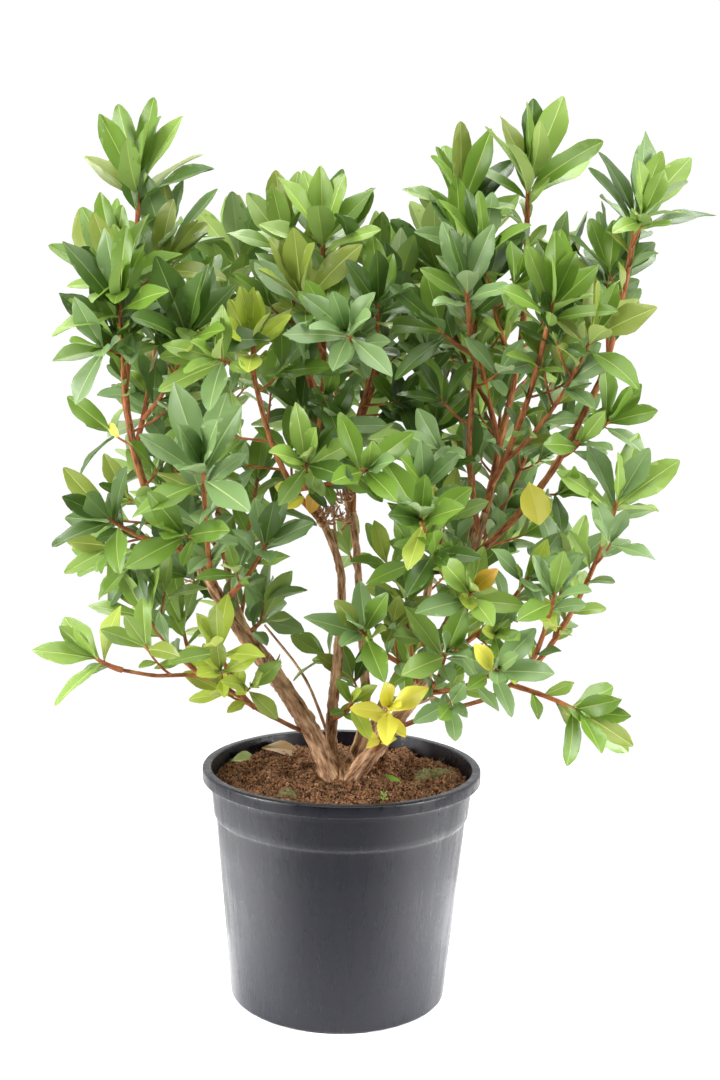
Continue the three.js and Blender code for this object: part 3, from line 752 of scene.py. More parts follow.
def grow_plant(settings):
    """Shoots and leaves of the whole shrub."""
    limbs = grow_limbs()
    shoots, leaves = [], []
    crown = [np.array(corner) / MM + side for corner, side in zip(CAD_BOX, (-6, 6))]
    for index, mass in enumerate(MASSES):
        part, _, _, size, tone, _ = mass
        name = f"{part}_foliage"
        low, high = (np.array(corner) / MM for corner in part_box(name))
        box = (np.maximum(low - settings.slack, crown[0]), np.minimum(high + settings.slack, crown[1]))
        splay = SPLAY.get(part, settings.splay)
        grown, draw = grow_shoots(limbs, mass, index)
        if part in BARE_LEADERS:
            grown[0].sparse, grown[0].radii = True, BARE_LEADER_RADII
        spacing = settings.twig_spacing * TWIG_THINNING.get(part, DEEP_THINNING if tone == "deep" else 1)
        grown += fine_twigs(grown, spacing, Draws(SEED * 7 + index))
        for shoot in grown:
            shoots.append(shoot)
            full = size * (1 if shoot.leafy else TWIG_SIZE)
            leaves += shoot_leaves(shoot, full, tone, splay, box, settings, draw)
            scales = FULL_BUD if draw() < FULL_BUD_SHARE else SMALL_BUD
            leaves += bud_leaves(shoot, TONES[tone][0], scales, draw)
    for index, (limb, (count, size, tone)) in enumerate(BOUGH_TWIGS.items()):
        draw = Draws(SEED * 11 + index)
        for twig in bough_twigs(limbs[limb], count, draw):
            shoots.append(twig)
            leaves += shoot_leaves(twig, size, tone, settings.splay, crown, settings, draw)
    for index, (limb, share, tip, size, tone) in enumerate(LEAFY_TWIGS):
        draw = Draws(SEED * 13 + index)
        twig = Shoot(shoot_line(limbs[limb].at(share), tip), LEAFY_TWIG_RADII, FRAME_TWIG_WHORL, False)
        twig.turn = draw() * 2 * math.pi
        shoots.append(twig)
        leaves += shoot_leaves(twig, size, tone, settings.splay, crown, settings, draw)
    for tint, place in OLD_LEAVES:
        # The leaf that shows there from the front.
        middles = np.array([leaf.root + leaf.along * leaf.length / 2 for leaf in leaves])
        aside = np.linalg.norm((middles - place)[:, ::2], axis=1)
        nearest = int(np.argmin(aside + 0.25 * middles[:, 1]))
        leaves[nearest].tint = tint
        leaves[nearest].length *= 0.8
    draw = Draws(SEED)
    for tint, root, tip, width in HANGING_LEAVES:
        root, way = np.array(root, float), np.array(tip, float) - root
        leaf = Leaf(root, unit(way), HANGING_FACE, np.linalg.norm(way), tint, 0.3, draw)
        leaf.width = width
        leaves.append(leaf)
    return shoots, leaves


# ---------------------------------------------------------------- leaves


STATIONS = np.array([0.05, 0.15, 0.27, 0.39, 0.51, 0.63, 0.75, 0.86, 0.95])
WIDEST = 0.58
RIB_SHARE = 0.0085  # of a leaf's length, for half its midrib's width
VEINS = 0.55  # share of the half width where the side veins lift the blade

# Across a blade: share of its half width, side of the midrib, 1 for the points below it.
ACROSS = np.array([(-1, 0, 0), (-VEINS, 0, 0), (0, -1, 0), (0, 1, 0), (VEINS, 0, 0), (1, 0, 0),
                   (0, 1, 1), (0, -1, 1)])


def blade_width(u):
    """Half the blade's width at a share of its length, for a leaf 2 wide."""
    below = np.sin(0.5 * math.pi * np.clip(u / WIDEST, 0, 1)) ** 1.3
    above = np.cos(0.5 * math.pi * np.clip((u - WIDEST) / (1 - WIDEST), 0, 1)) ** 0.76
    return np.where(u < WIDEST, np.maximum(below, 0.08), above)


def leaf_faces():
    """Quads and triangles of one leaf with their materials: 0 upper side, 1 midrib, 2 underside."""
    count = len(ACROSS)
    tip = 1 + count * len(STATIONS)
    columns = [(0, 1, 0), (1, 2, 0), (2, 3, 1), (3, 4, 0), (4, 5, 0), (5, 6, 2), (6, 7, 1), (7, 0, 2)]
    quads, triangles = [], []
    for k in range(len(STATIONS)):
        here = 1 + count * k
        for a, b, slot in columns:
            if k == 0:
                triangles.append(((0, here + b, here + a), slot))
            if k == len(STATIONS) - 1:
                triangles.append(((here + a, here + b, tip), slot))
            else:
                quads.append(((here + a, here + b, here + b + count, here + a + count), slot))
    return [np.array(x) for part in (quads, triangles) for x in zip(*part)]


LEAF_FACES = leaf_faces()


def add_leaf(batch, leaf, rib_width, thickness):
    """Adds one leaf: folded along its midrib, arched, twisted and wavy at its margins."""
    length, half = leaf.length, leaf.length * leaf.width / 2
    u = np.repeat(STATIONS, len(ACROSS))
    v, rib, under = np.tile(ACROSS.T, len(STATIONS))
    ragged = 1 + 0.06 * np.sin(40 * u + 3 * np.sign(v) + leaf.phase)
    x = v * half * blade_width(u) * ragged + rib * rib_width * (1.15 - 0.75 * u)
    ripple = leaf.wave * length * np.sin(9 * u + 1.7 * np.sign(v) + leaf.phase)
    vein = 0.3 + 0.016 * length * np.repeat(np.arange(len(STATIONS)) % 2, len(ACROSS))
    z = np.abs(x) * leaf.fold - under * thickness + np.abs(v) * ripple
    z += vein * (np.abs(v) == VEINS)
    u = u + 0.03 * (np.abs(v) == VEINS)
    u = np.concatenate([[0], u, [1]])
    x = np.concatenate([[0], x, [0]])
    z = np.concatenate([[0], z, [0]])
    bend = leaf.arch * u
    side = np.cross(leaf.along, leaf.face)
    line = np.outer(np.sin(bend), leaf.along) - np.outer(1 - np.cos(bend), leaf.face)
    over = np.outer(np.sin(bend), leaf.along) + np.outer(np.cos(bend), leaf.face)
    tilt = (leaf.twist * u)[:, None]
    across = side * np.cos(tilt) + over * np.sin(tilt)
    upward = over * np.cos(tilt) - side * np.sin(tilt)
    points = leaf.root + line * length / leaf.arch + across * x[:, None] + upward * z[:, None]
    quads, quad_slots, triangles, triangle_slots = LEAF_FACES
    batch.add(points, quads, triangles, quad_slots, triangle_slots)


# ---------------------------------------------------------------- materials


def add_node(tree, kind, links=None, **values):
    """A new node of a tree, with its settings and input values, and the sources linked to its inputs."""
    node = tree.nodes.new(kind)
    for key, value in values.items():
        if hasattr(node, key):
            setattr(node, key, value)
        else:
            node.inputs[key.replace("_", " ")].default_value = value
    for socket, source in (links or {}).items():
        tree.links.new(source, node.inputs[socket])
    return node


def fill_ramp(node, stops):
    """Gives a colour ramp its stops: places, each with a colour or a grey."""
    elements = node.color_ramp.elements
    while len(elements) < len(stops):
        elements.new(0.5)
    for element, (place, value) in zip(elements, stops):
        element.position = place
        element.color = value if isinstance(value, tuple) else (value, value, value, 1)


class Shader:
    """A material under construction."""

    def __init__(self, name, **sockets):
        self.material = bpy.data.materials.new(name)
        self.material.use_nodes = True
        self.tree = self.material.node_tree
        self.surface = next(n for n in self.tree.nodes if n.type == "BSDF_PRINCIPLED")
        for socket, value in sockets.items():
            self.surface.inputs[socket.replace("_", " ")].default_value = value

    def node(self, kind, links=None, **values):
        return add_node(self.tree, kind, links, **values)

    def link(self, source, socket):
        self.tree.links.new(source, self.surface.inputs[socket])

    def coordinates(self, scale, attribute=None):
        if attribute:
            source = self.node("ShaderNodeAttribute", attribute_name=attribute).outputs["Vector"]
        else:
            source = self.node("ShaderNodeTexCoord").outputs["Object"]
        return self.node("ShaderNodeMapping", {"Vector": source}, Scale=scale).outputs["Vector"]

    def noise(self, vector, scale, detail=4.0, roughness=0.55):
        node = self.node("ShaderNodeTexNoise", {"Vector": vector}, Scale=scale, Detail=detail,
                         Roughness=roughness)
        return node.outputs["Fac"]

    def ramp(self, factor, stops):
        node = self.node("ShaderNodeValToRGB", {"Fac": factor})
        fill_ramp(node, stops)
        return node.outputs["Color"]

    def mix(self, factor, first, second, mode="MIX"):
        node = self.node("ShaderNodeMix", data_type="RGBA", blend_type=mode)
        for socket, value in ((0, factor), (6, first), (7, second)):
            if isinstance(value, (float, tuple)):
                node.inputs[socket].default_value = value
            else:
                self.tree.links.new(value, node.inputs[socket])
        return node.outputs[2]

    def bump(self, height, strength, distance, below=None):
        node = self.node("ShaderNodeBump", {"Height": height}, Strength=strength, Distance=distance)
        if below:
            self.tree.links.new(below, node.inputs["Normal"])
        return node.outputs["Normal"]


def plastic_material(settings):
    """Dark moulded plastic with faint upright streaks, scuffs and dust."""
    shader = Shader("pot_plastic", Specular_IOR_Level=0.42)
    streaks = shader.noise(shader.coordinates((90, 90, 2.5)), 1.0, 5)
    fine = shader.noise(shader.coordinates((1, 1, 1)), 650, 3)
    drops = shader.noise(shader.coordinates((300, 300, 170)), 1.0, 6, 0.7)
    cloud = shader.noise(shader.coordinates((7, 7, 12)), 1.0, 5, 0.6)
    base = tuple(settings.colour) + (1.0,)
    dust = tuple(min(1, 2 * c + 0.03) for c in settings.colour) + (1.0,)
    specks = shader.ramp(drops, [(0.6, 0.0), (0.7, 0.5)])
    shader.link(shader.mix(specks, base, dust), "Base Color")
    polish = shader.ramp(cloud, [(0.4, 0.18), (0.6, 0.4)])
    dull = shader.ramp(streaks, [(0.4, 0.16), (0.6, 0.44)])
    shader.link(shader.mix(0.5, polish, dull), "Roughness")
    relief = shader.bump(drops, 0.25, 0.0012, shader.bump(streaks, 0.12, 0.0008))
    shader.link(shader.bump(fine, 0.14, 0.0002, relief), "Normal")
    return shader.material


def soil_material(name, light, dark, scale=160):
    """Dull, grainy earth, peat, wood or moss between two colours."""
    shader = Shader(name, Roughness=0.95, Specular_IOR_Level=0.2)
    grain = shader.noise(shader.coordinates((1, 1, 1)), scale, 8, 0.7)
    shader.link(shader.ramp(grain, [(0.32, colour(dark)), (0.68, colour(light))]), "Base Color")
    shader.link(shader.bump(grain, 0.8, 0.002), "Normal")
    return shader.material


def bark_material(name, light, mid, dark, scale=1.0, depth=0.0015):
    """Bark with fibres along the limb, paler on the ridges."""
    shader = Shader(name, Roughness=0.85, Specular_IOR_Level=0.3)
    fine = (300 * scale, 300 * scale, 48 * scale)
    coarse = (100 * scale, 100 * scale, 34 * scale)
    fibres = shader.noise(shader.coordinates(fine, "grain"), 1.0, 9, 0.68)
    patches = shader.noise(shader.coordinates(coarse, "grain"), 1.0, 5)
    stripes = shader.ramp(fibres, [(0.38, colour(dark)), (0.48, colour(mid)), (0.62, colour(light))])
    tone = shader.ramp(patches, [(0.38, colour(dark)), (0.47, colour(mid)), (0.6, colour(light))])
    shader.link(shader.mix(0.45, stripes, tone), "Base Color")
    shader.link(shader.bump(fibres, 1.0, depth), "Normal")
    return shader.material


def leaf_materials(tint):
    """Upper side, midrib and underside of one tint."""
    upper, rib, under = TINTS[tint]
    sheen = Shader(f"leaf_{tint}_upper", Base_Color=colour(upper), Roughness=0.38,
                   Specular_IOR_Level=0.5)
    line = Shader(f"leaf_{tint}_midrib", Base_Color=colour(rib), Roughness=0.5)
    back = Shader(f"leaf_{tint}_underside", Base_Color=colour(under), Roughness=0.62,
                  Specular_IOR_Level=0.3)
    return [sheen.material, line.material, back.material]


# ---------------------------------------------------------------- scattered bits


def scatter_tree():
    """Sets copies of a bit on a surface, turned and sized at random, as one plain mesh."""
    tree = bpy.data.node_groups.new("ScatterBits", "GeometryNodeTree")
    sockets = (("Surface", "Geometry"), ("Bit", "Object"), ("Density", "Float"), ("Smallest", "Float"),
               ("Largest", "Float"), ("Tumble", "Float"), ("Seed", "Int"), ("Material", "Material"))
    for name, kind in sockets:
        tree.interface.new_socket(name, in_out="INPUT", socket_type=f"NodeSocket{kind}")
    tree.interface.new_socket("Bits", in_out="OUTPUT", socket_type="NodeSocketGeometry")
    given = add_node(tree, "NodeGroupInput").outputs
    points = add_node(tree, "GeometryNodeDistributePointsOnFaces",
                      {"Mesh": given["Surface"], "Density": given["Density"], "Seed": given["Seed"]})
    spread = add_node(tree, "ShaderNodeCombineXYZ", {"X": given["Tumble"], "Y": given["Tumble"]},
                      Z=2 * math.pi)
    turn = add_node(tree, "FunctionNodeRandomValue",
                    {"Max": spread.outputs["Vector"], "Seed": given["Seed"]}, data_type="FLOAT_VECTOR")
    size = add_node(tree, "FunctionNodeRandomValue",
                    {2: given["Smallest"], 3: given["Largest"], "Seed": given["Seed"]})
    bit = add_node(tree, "GeometryNodeObjectInfo", {"Object": given["Bit"]})
    rotation = add_node(tree, "FunctionNodeEulerToRotation", {0: turn.outputs[0]})
    copies = add_node(tree, "GeometryNodeInstanceOnPoints",
                      {"Points": points.outputs["Points"], "Instance": bit.outputs["Geometry"],
                       "Rotation": rotation.outputs[0], "Scale": size.outputs[1]})
    real = add_node(tree, "GeometryNodeRealizeInstances", {"Geometry": copies.outputs["Instances"]})
    paint = add_node(tree, "GeometryNodeSetMaterial",
                     {"Geometry": real.outputs["Geometry"], "Material": given["Material"]})
    add_node(tree, "NodeGroupOutput", {"Bits": paint.outputs["Geometry"]})
    return tree


def scatter(name, tree, surface, **inputs):
    """A plain mesh of the bits that a tree sets on a surface."""
    carrier = add_object("carrier", surface)
    modifier = carrier.modifiers.new("bits", "NODES")
    modifier.node_group = tree
    for item in tree.interface.items_tree:
        if item.in_out == "INPUT" and item.name in inputs:
            modifier[item.identifier] = inputs[item.name]
    bpy.context.view_layer.update()
    shown = carrier.evaluated_get(bpy.context.evaluated_depsgraph_get())
    mesh = bpy.data.meshes.new_from_object(shown)
    mesh.name = name
    bpy.data.objects.remove(carrier)
    return add_object(name, mesh)


def crumb_mesh(name, stretch, seed, rough=0.35):
    """A small lump of twenty faces, 1 mm across before it is stretched."""
    bit = bpy.data.meshes.new(name)
    shape = bmesh.new()
    bmesh.ops.create_icosphere(shape, subdivisions=1, radius=0.5)
    for vertex in shape.verts:
        bump = 1 + rough * noise.noise(vertex.co * 3.1 + Vector((seed, 2 * seed, 0)))
        vertex.co = Vector(a * b for a, b in zip(vertex.co * bump, stretch))
    shape.to_mesh(bit)
    shape.free()
    bit.transform(Matrix.Scale(MM, 4))
    return bpy.data.objects.new(name, bit)


# ---------------------------------------------------------------- pot and soil


def outer_radius(z, base):
    """Radius of the pot's wall outside at a height, for the radius of its underside."""
    return base + POT_TAPER * z + (POT_LEDGE_STEP if z > POT_LEDGE_HEIGHT else 0)


def arc(centre, radius, start, end, steps):
    """Points of an arc in the plane of radius and height, angles in degrees."""
    angles = np.radians(np.linspace(start, end, steps))
    return [(centre[0] + radius * math.cos(a), centre[1] + radius * math.sin(a)) for a in angles]


def turned(batch, profile, sides):
    """Turns a profile of (radius, height) pairs round the Z axis. It starts and ends on the axis."""
    inner = np.array(profile[1:-1], float)
    angles = np.arange(sides) * 2 * math.pi / sides
    rings = np.stack([np.outer(np.cos(angles), inner[:, 0]), np.outer(np.sin(angles), inner[:, 0]),
                      np.broadcast_to(inner[:, 1], (sides, len(inner)))], -1)
    points = rings.reshape(-1, 3)
    count = len(inner)
    column = np.arange(sides) * count
    after = np.roll(column, -1)
    row = np.arange(count - 1)[:, None]
    quads = np.stack([column + row, after + row, after + row + 1, column + row + 1], -1).reshape(-1, 4)
    poles = np.array([[0, 0, profile[0][1]], [0, 0, profile[-1][1]]], float)
    first, last = len(points), len(points) + 1
    caps = [np.stack([np.full(sides, first), after, column], 1),
            np.stack([np.full(sides, last), column + count - 1, after + count - 1], 1)]
    batch.add(np.vstack([points, poles]), quads, np.vstack(caps))


def pot_profile(settings):
    """From the middle of the underside, up the outside, over the rim and down to the floor inside."""
    base, height, rim = settings.base_radius / MM, settings.height / MM, settings.rim_radius / MM
    foot = height - POT_RIM_DEPTH
    rim_inner = rim - POT_RIM_WIDTH
    ledge_top = POT_LEDGE_HEIGHT + POT_LEDGE_STEP

    def wall(z):
        return outer_radius(z, base)

    heights = np.linspace(POT_BASE_EDGE, POT_LEDGE_HEIGHT - 2, 16)
    profile = [(0, 0.0), (base - POT_BASE_EDGE - 8, 0.0), (base - POT_BASE_EDGE, 0.0)]
    profile += arc((base - POT_BASE_EDGE + 0.4, POT_BASE_EDGE), POT_BASE_EDGE, -80, 0, 6)
    profile += [(wall(z), z) for z in heights[1:]]
    profile += [(wall(z) - POT_LEDGE_STEP * (z > POT_LEDGE_HEIGHT) + rise, z)
                for z, rise in ((233.4, 0.15), (234.6, 0.7), (235.8, 1.5), (237.0, 2.2), (238.4, 2.7))]
    profile += [(wall(z), z) for z in np.linspace(ledge_top + 8, foot - 3, 6)]
    profile += [(wall(foot) + 0.6, foot - 0.8), (wall(foot) + 1.8, foot - 0.1), (rim - 2.4, foot)]
    profile += arc((rim - 1.8, foot + 1.8), 1.8, -70, 0, 5)
    profile += arc((rim - 3, height - 3), 3, 0, 90, 7)
    profile += arc((rim_inner + 2.4, height - 2.4), 2.4, 90, 175, 6)
    profile += [(wall(z) - POT_WALL, z) for z in np.linspace(foot, ledge_top + 2, 5)]
    profile += [(wall(z) - POT_WALL, z) for z in np.linspace(POT_LEDGE_HEIGHT - 2, POT_FLOOR, 5)]
    return profile + [(0, POT_FLOOR)]


def soil_height(x, y):
    """The soil's surface: rising a little towards the wall, with lumps of several sizes."""
    distance = math.hypot(x, y)
    rise = 4.0 * min(1, max(0, (distance - 60) / 70))
    edge = -3.0 * max(0, (distance - 146) / 14)
    lumps = sum(height * noise.noise(Vector((x / size, y / size, size)))
                for size, height in ((60, 5.0), (24, 9.0), (12, 7.5), (5, 3.6)))
    return SOIL_LEVEL + rise + edge + lumps


def soil_surface(radius, rings=70, sides=200):
    """The soil as one closed mesh, and its top alone for scattering."""
    radii = radius * np.linspace(0, 1, rings + 1)[1:] ** 0.8
    angles = np.arange(sides) * 2 * math.pi / sides
    top = [(r * math.cos(a), r * math.sin(a)) for r in radii for a in angles]
    points = [(x, y, soil_height(x, y)) for x, y in top]
    points.append((0, 0, soil_height(0, 0)))
    centre = rings * sides
    at = np.arange(sides)
    after = (at + 1) % sides
    quads = ring_quads(rings, sides, inward=True)
    fan = np.stack([np.full(sides, centre), at, after], 1)
    skirt = [(x * 0.985, y * 0.985, SOIL_LEVEL - 30) for x, y in top[-sides:]] + [(0, 0, SOIL_LEVEL - 30)]
    low = centre + 1
    last = (rings - 1) * sides
    wall = np.stack([last + at, low + at, low + after, last + after], 1)
    floor = np.stack([np.full(sides, low + sides), low + after, low + at], 1)
    whole = Batch()
    whole.add(np.array(points + skirt), np.vstack([quads, wall]), np.vstack([fan, floor]))
    upper = Batch()
    upper.add(np.array(points), quads, fan)
    return whole, upper


# ---------------------------------------------------------------- settings


class AzaleaPot(PropertyGroup):
    height: FloatProperty(name="Height", description="Height of the pot", default=0.296,
                          unit="LENGTH", min=0.1)
    rim_radius: FloatProperty(name="Rim Radius", description="Outer radius of the rim", default=0.175,
                              unit="LENGTH", min=0.05)
    base_radius: FloatProperty(name="Base Radius", description="Radius of the underside", default=0.136,
                               unit="LENGTH", min=0.05)
    colour: FloatVectorProperty(name="Colour", description="Colour of the plastic", subtype="COLOR",
                                default=(0.0022, 0.0024, 0.0066), min=0, max=1)


class AzaleaSoil(PropertyGroup):
    crumbs: FloatProperty(name="Crumbs", description="Crumbs for each square metre", default=70000, min=0)
    lumps: FloatProperty(name="Lumps", description="Lumps of peat for each square metre", default=3600,
                         min=0)
    chips: FloatProperty(name="Chips", description="Bits of bark for each square metre", default=9000,
                         min=0)
    fibres: FloatProperty(name="Fibres", description="Pale fibres for each square metre", default=24000,
                          min=0)
    grains: FloatProperty(name="Grains", description="Grains of feed for each square metre", default=500,
                          min=0)


class AzaleaBark(PropertyGroup):
    relief: FloatProperty(name="Relief", description="Height of the bark's ridges, as a share of the"
                          " radius", default=0.17, min=0, max=0.5)


class AzaleaFoliage(PropertyGroup):
    whorl: IntProperty(name="Whorl", description="Leaves at the tip of a shoot", default=9, min=2)
    twig_whorl: IntProperty(name="Twig Whorl", description="Leaves at the tip of a side twig", default=6,
                            min=2)
    whorl_step: FloatProperty(name="Whorl Step", description="Millimetres between a whorl's leaves",
                              default=2.6, min=0.5)
    spacing: FloatProperty(name="Spacing", description="Millimetres between the leaves below the whorl",
                           default=13.5, min=5)
    leafy_share: FloatProperty(name="Leafy Share", description="Share of a shoot that carries leaves",
                               default=0.86, min=0, max=1)
    twig_spacing: FloatProperty(name="Twig Spacing", default=85, min=10,
                                description="Millimetres of shoot for each fine twig")
    scale: FloatProperty(name="Leaf Scale", description="Size of the leaves beside the frame's",
                         default=1.08, min=0.1)
    droop: FloatProperty(name="Droop", description="How far outer leaves hang outwards", default=0.2,
                         min=0)
    turn_out: FloatProperty(name="Turn Out", description="How far blades face out of the crown",
                            default=0.75, min=0)
    splay: FloatProperty(name="Splay", description="How far whorls turn out of the crown", default=0.15,
                         min=0)
    slack: FloatProperty(name="Slack", description="Millimetres that leaves may pass their mass's box",
                         default=18, min=0)
    thickness: FloatProperty(name="Thickness", description="Millimetres of a leaf at its midrib",
                             default=0.9, min=0.1)


class AzaleaStage(PropertyGroup):
    floor: FloatVectorProperty(name="Floor", description="Colour of the floor", subtype="COLOR",
                               default=(0.52, 0.52, 0.52), min=0, max=1)
    floor_radius: FloatProperty(name="Floor Radius", description="Radius of the round floor",
                                default=1.25, unit="LENGTH", min=0.3)
    world: FloatProperty(name="World", description="Brightness behind the shrub", default=1.05, min=0)
    sides: FloatProperty(name="Sides", description="Share of that brightness above and at the sides",
                         default=0.7, min=0, max=1)
    dim: FloatProperty(name="Dim", description="Share of that brightness behind the camera", default=0.1,
                       min=0, max=1)
    light: FloatProperty(name="Light", description="Strength of the overhead light", default=70, min=0)


SETTINGS = {"pot": AzaleaPot, "soil": AzaleaSoil, "bark": AzaleaBark, "foliage": AzaleaFoliage,
            "stage": AzaleaStage}


def settings_of(context, name):
    """The scene's values for one of the SETTINGS."""
    return getattr(context.scene, f"azalea_{name}")


# ---------------------------------------------------------------- operators


class AZALEA_OT_pot(Operator):
    """Make the nursery pot"""

    bl_idname = "azalea.pot"
    bl_label = "Pot"

    def execute(self, context):
        settings = settings_of(context, "pot")
        batch = Batch()
        turned(batch, pot_profile(settings), POT_SIDES)
        piece = batch.build("nursery_pot", [plastic_material(settings)], sharp=50)
        finish_piece(piece, ["pot"])
        return {"FINISHED"}


class AZALEA_OT_soil(Operator):
    """Make the potting soil with its crumbs, chips and fibres"""

    bl_idname = "azalea.soil"
    bl_label = "Soil"

    def execute(self, context):
        settings = settings_of(context, "soil")
        radius = outer_radius(SOIL_LEVEL, POT_BASE_RADIUS) - POT_WALL - SOIL_GAP
        whole, upper = soil_surface(radius)
        base = soil_material("peat", "916a4c", "1a0f0a")
        piece = whole.build("potting_peat", [base])
        finish_piece(piece, ["potting_soil"])
        tree = scatter_tree()
        carrier = soil_surface(radius - 4, 30, 90)[1].build("surface", [])
        kinds = [
            ("pale_crumbs", (1.3, 0.7, 0.6), settings.crumbs, 0.8, 3.8, 6.3, ("d09a70", "6a4630")),
            ("dark_crumbs", (1.2, 0.8, 0.6), settings.crumbs, 0.8, 4.6, 6.3, ("543524", "170c08")),
            ("peat_lumps", (1, 0.85, 0.7), settings.lumps, 4.0, 11.0, 6.3, ("a87a58", "3a2418")),
            ("bark_chips", (2.2, 0.8, 0.3), settings.chips, 1.4, 5.5, 1.4, ("b8815a", "5c3826")),
            ("pale_fibres", (6.0, 0.16, 0.16), settings.fibres, 0.8, 3.0, 1.0, ("cfae80", "8a6644")),
            ("feed_grains", (1, 0.9, 0.8), settings.grains, 2.0, 3.2, 1.0, ("e0a848", "b8702c")),
        ]
        for seed, (name, stretch, density, small, large, tumble, colours) in enumerate(kinds, 3):
            bit = crumb_mesh(name + "_bit", stretch, seed)
            bits = scatter(name, tree, carrier.data.copy(), Bit=bit, Density=float(density),
                           Smallest=float(small), Largest=float(large), Tumble=float(tumble), Seed=seed,
                           Material=soil_material(name, *colours, scale=300))
            bpy.data.objects.remove(bit)
            finish_piece(bits)
        bpy.data.objects.remove(carrier)
        return {"FINISHED"}


def moss_lump(batch, middle, half, turn, seed):
    """Adds a low lump of moss: a dome with a crumbly skin."""
    rings, sides = 12, 40
    points = []
    for k in range(1, rings + 1):
        for j in range(sides):
            angle, share = 2 * math.pi * j / sides, k / rings
            x, y = share * math.cos(angle), share * math.sin(angle)
            skin = 0.35 * noise.noise(Vector((4 * x + seed, 4 * y, 0)))
            skin += 0.2 * noise.noise(Vector((11 * x + seed, 11 * y, 3)))
            points.append((x, y, math.sqrt(max(0, 1 - share * share)) * (1 + skin) - 0.5 * share))
    points.append((0, 0, 1.0))
    points.append((0, 0, -0.8))
    shape = np.array(points) * half
    c, s = math.cos(turn), math.sin(turn)
    shape = shape @ np.array([[c, s, 0], [-s, c, 0], [0, 0, 1]])
    shape += np.array([*middle, soil_height(*middle)])
    at = np.arange(sides)
    after = (at + 1) % sides
    last = (rings - 1) * sides
    top, low = rings * sides, rings * sides + 1
    fan = np.stack([np.full(sides, top), at, after], 1)
    base = np.stack([np.full(sides, low), last + after, last + at], 1)
    batch.add(shape, ring_quads(rings, sides, inward=True), np.vstack([fan, base]))


class AZALEA_OT_litter(Operator):
    """Lay fallen leaves, moss and a seedling on the soil"""

    bl_idname = "azalea.litter"
    bl_label = "Litter and Moss"

    def execute(self, context):
        draw = Draws(11)
        for tint, (start, end) in LITTER:
            root = np.array([*start, soil_height(*start) + 5.0])
            way = np.array([*end, soil_height(*end) + 4.0]) - root
            leaf = Leaf(root, unit(way), np.array([0, -0.7, 1.0]), np.linalg.norm(way), tint, 0.5, draw)
            leaf.width = 0.46
            batch = Batch()
            add_leaf(batch, leaf, 0.6, 0.7)
            finish_piece(batch.build(f"fallen_{tint}_leaf", leaf_materials(tint)))
        moss = Batch()
        for lump in MOSS:
            moss_lump(moss, *lump)
        skin = soil_material("moss", "8d8a5e", "423c22", scale=420)
        finish_piece(moss.build("moss", [skin]))
        seedling = Batch()
        foot = np.array([*SEEDLING, soil_height(*SEEDLING)])
        tube(seedling, Line([foot, foot + [1, -1, 9]]), (0.7, 0.5), 6, 3)
        up = np.array([0, 0, 1.0])
        for i in range(7):
            along = leaning(up, math.radians(30 + 8 * i), i * GOLDEN_ANGLE)
            leaf = Leaf(foot + [1, -1, 9 - i], along, up, 7.5, "fresh", 0.3, draw)
            add_leaf(seedling, leaf, 0.2, 0.3)
        finish_piece(seedling.build("seedling", leaf_materials("fresh")))
        return {"FINISHED"}


def bark_relief(depth, seed):
    """Height of the bark: long ridges that split and join, with flaking edges."""

    def height(angles, along, radius):
        values = []
        for angle in angles:
            x, y = math.cos(angle), math.sin(angle)
            ridge = noise.noise(Vector((2.0 * x + seed, 2.0 * y, along / 40)))
            flake = noise.noise(Vector((4.5 * x, 4.5 * y + seed, along / 10)))
            fine = noise.noise(Vector((9 * x, 9 * y + seed, along / 4)))
            values.append(0.8 * ridge + 0.7 * math.tanh(5 * flake) + 0.4 * fine)
        return radius * depth * np.array(values)

    return height


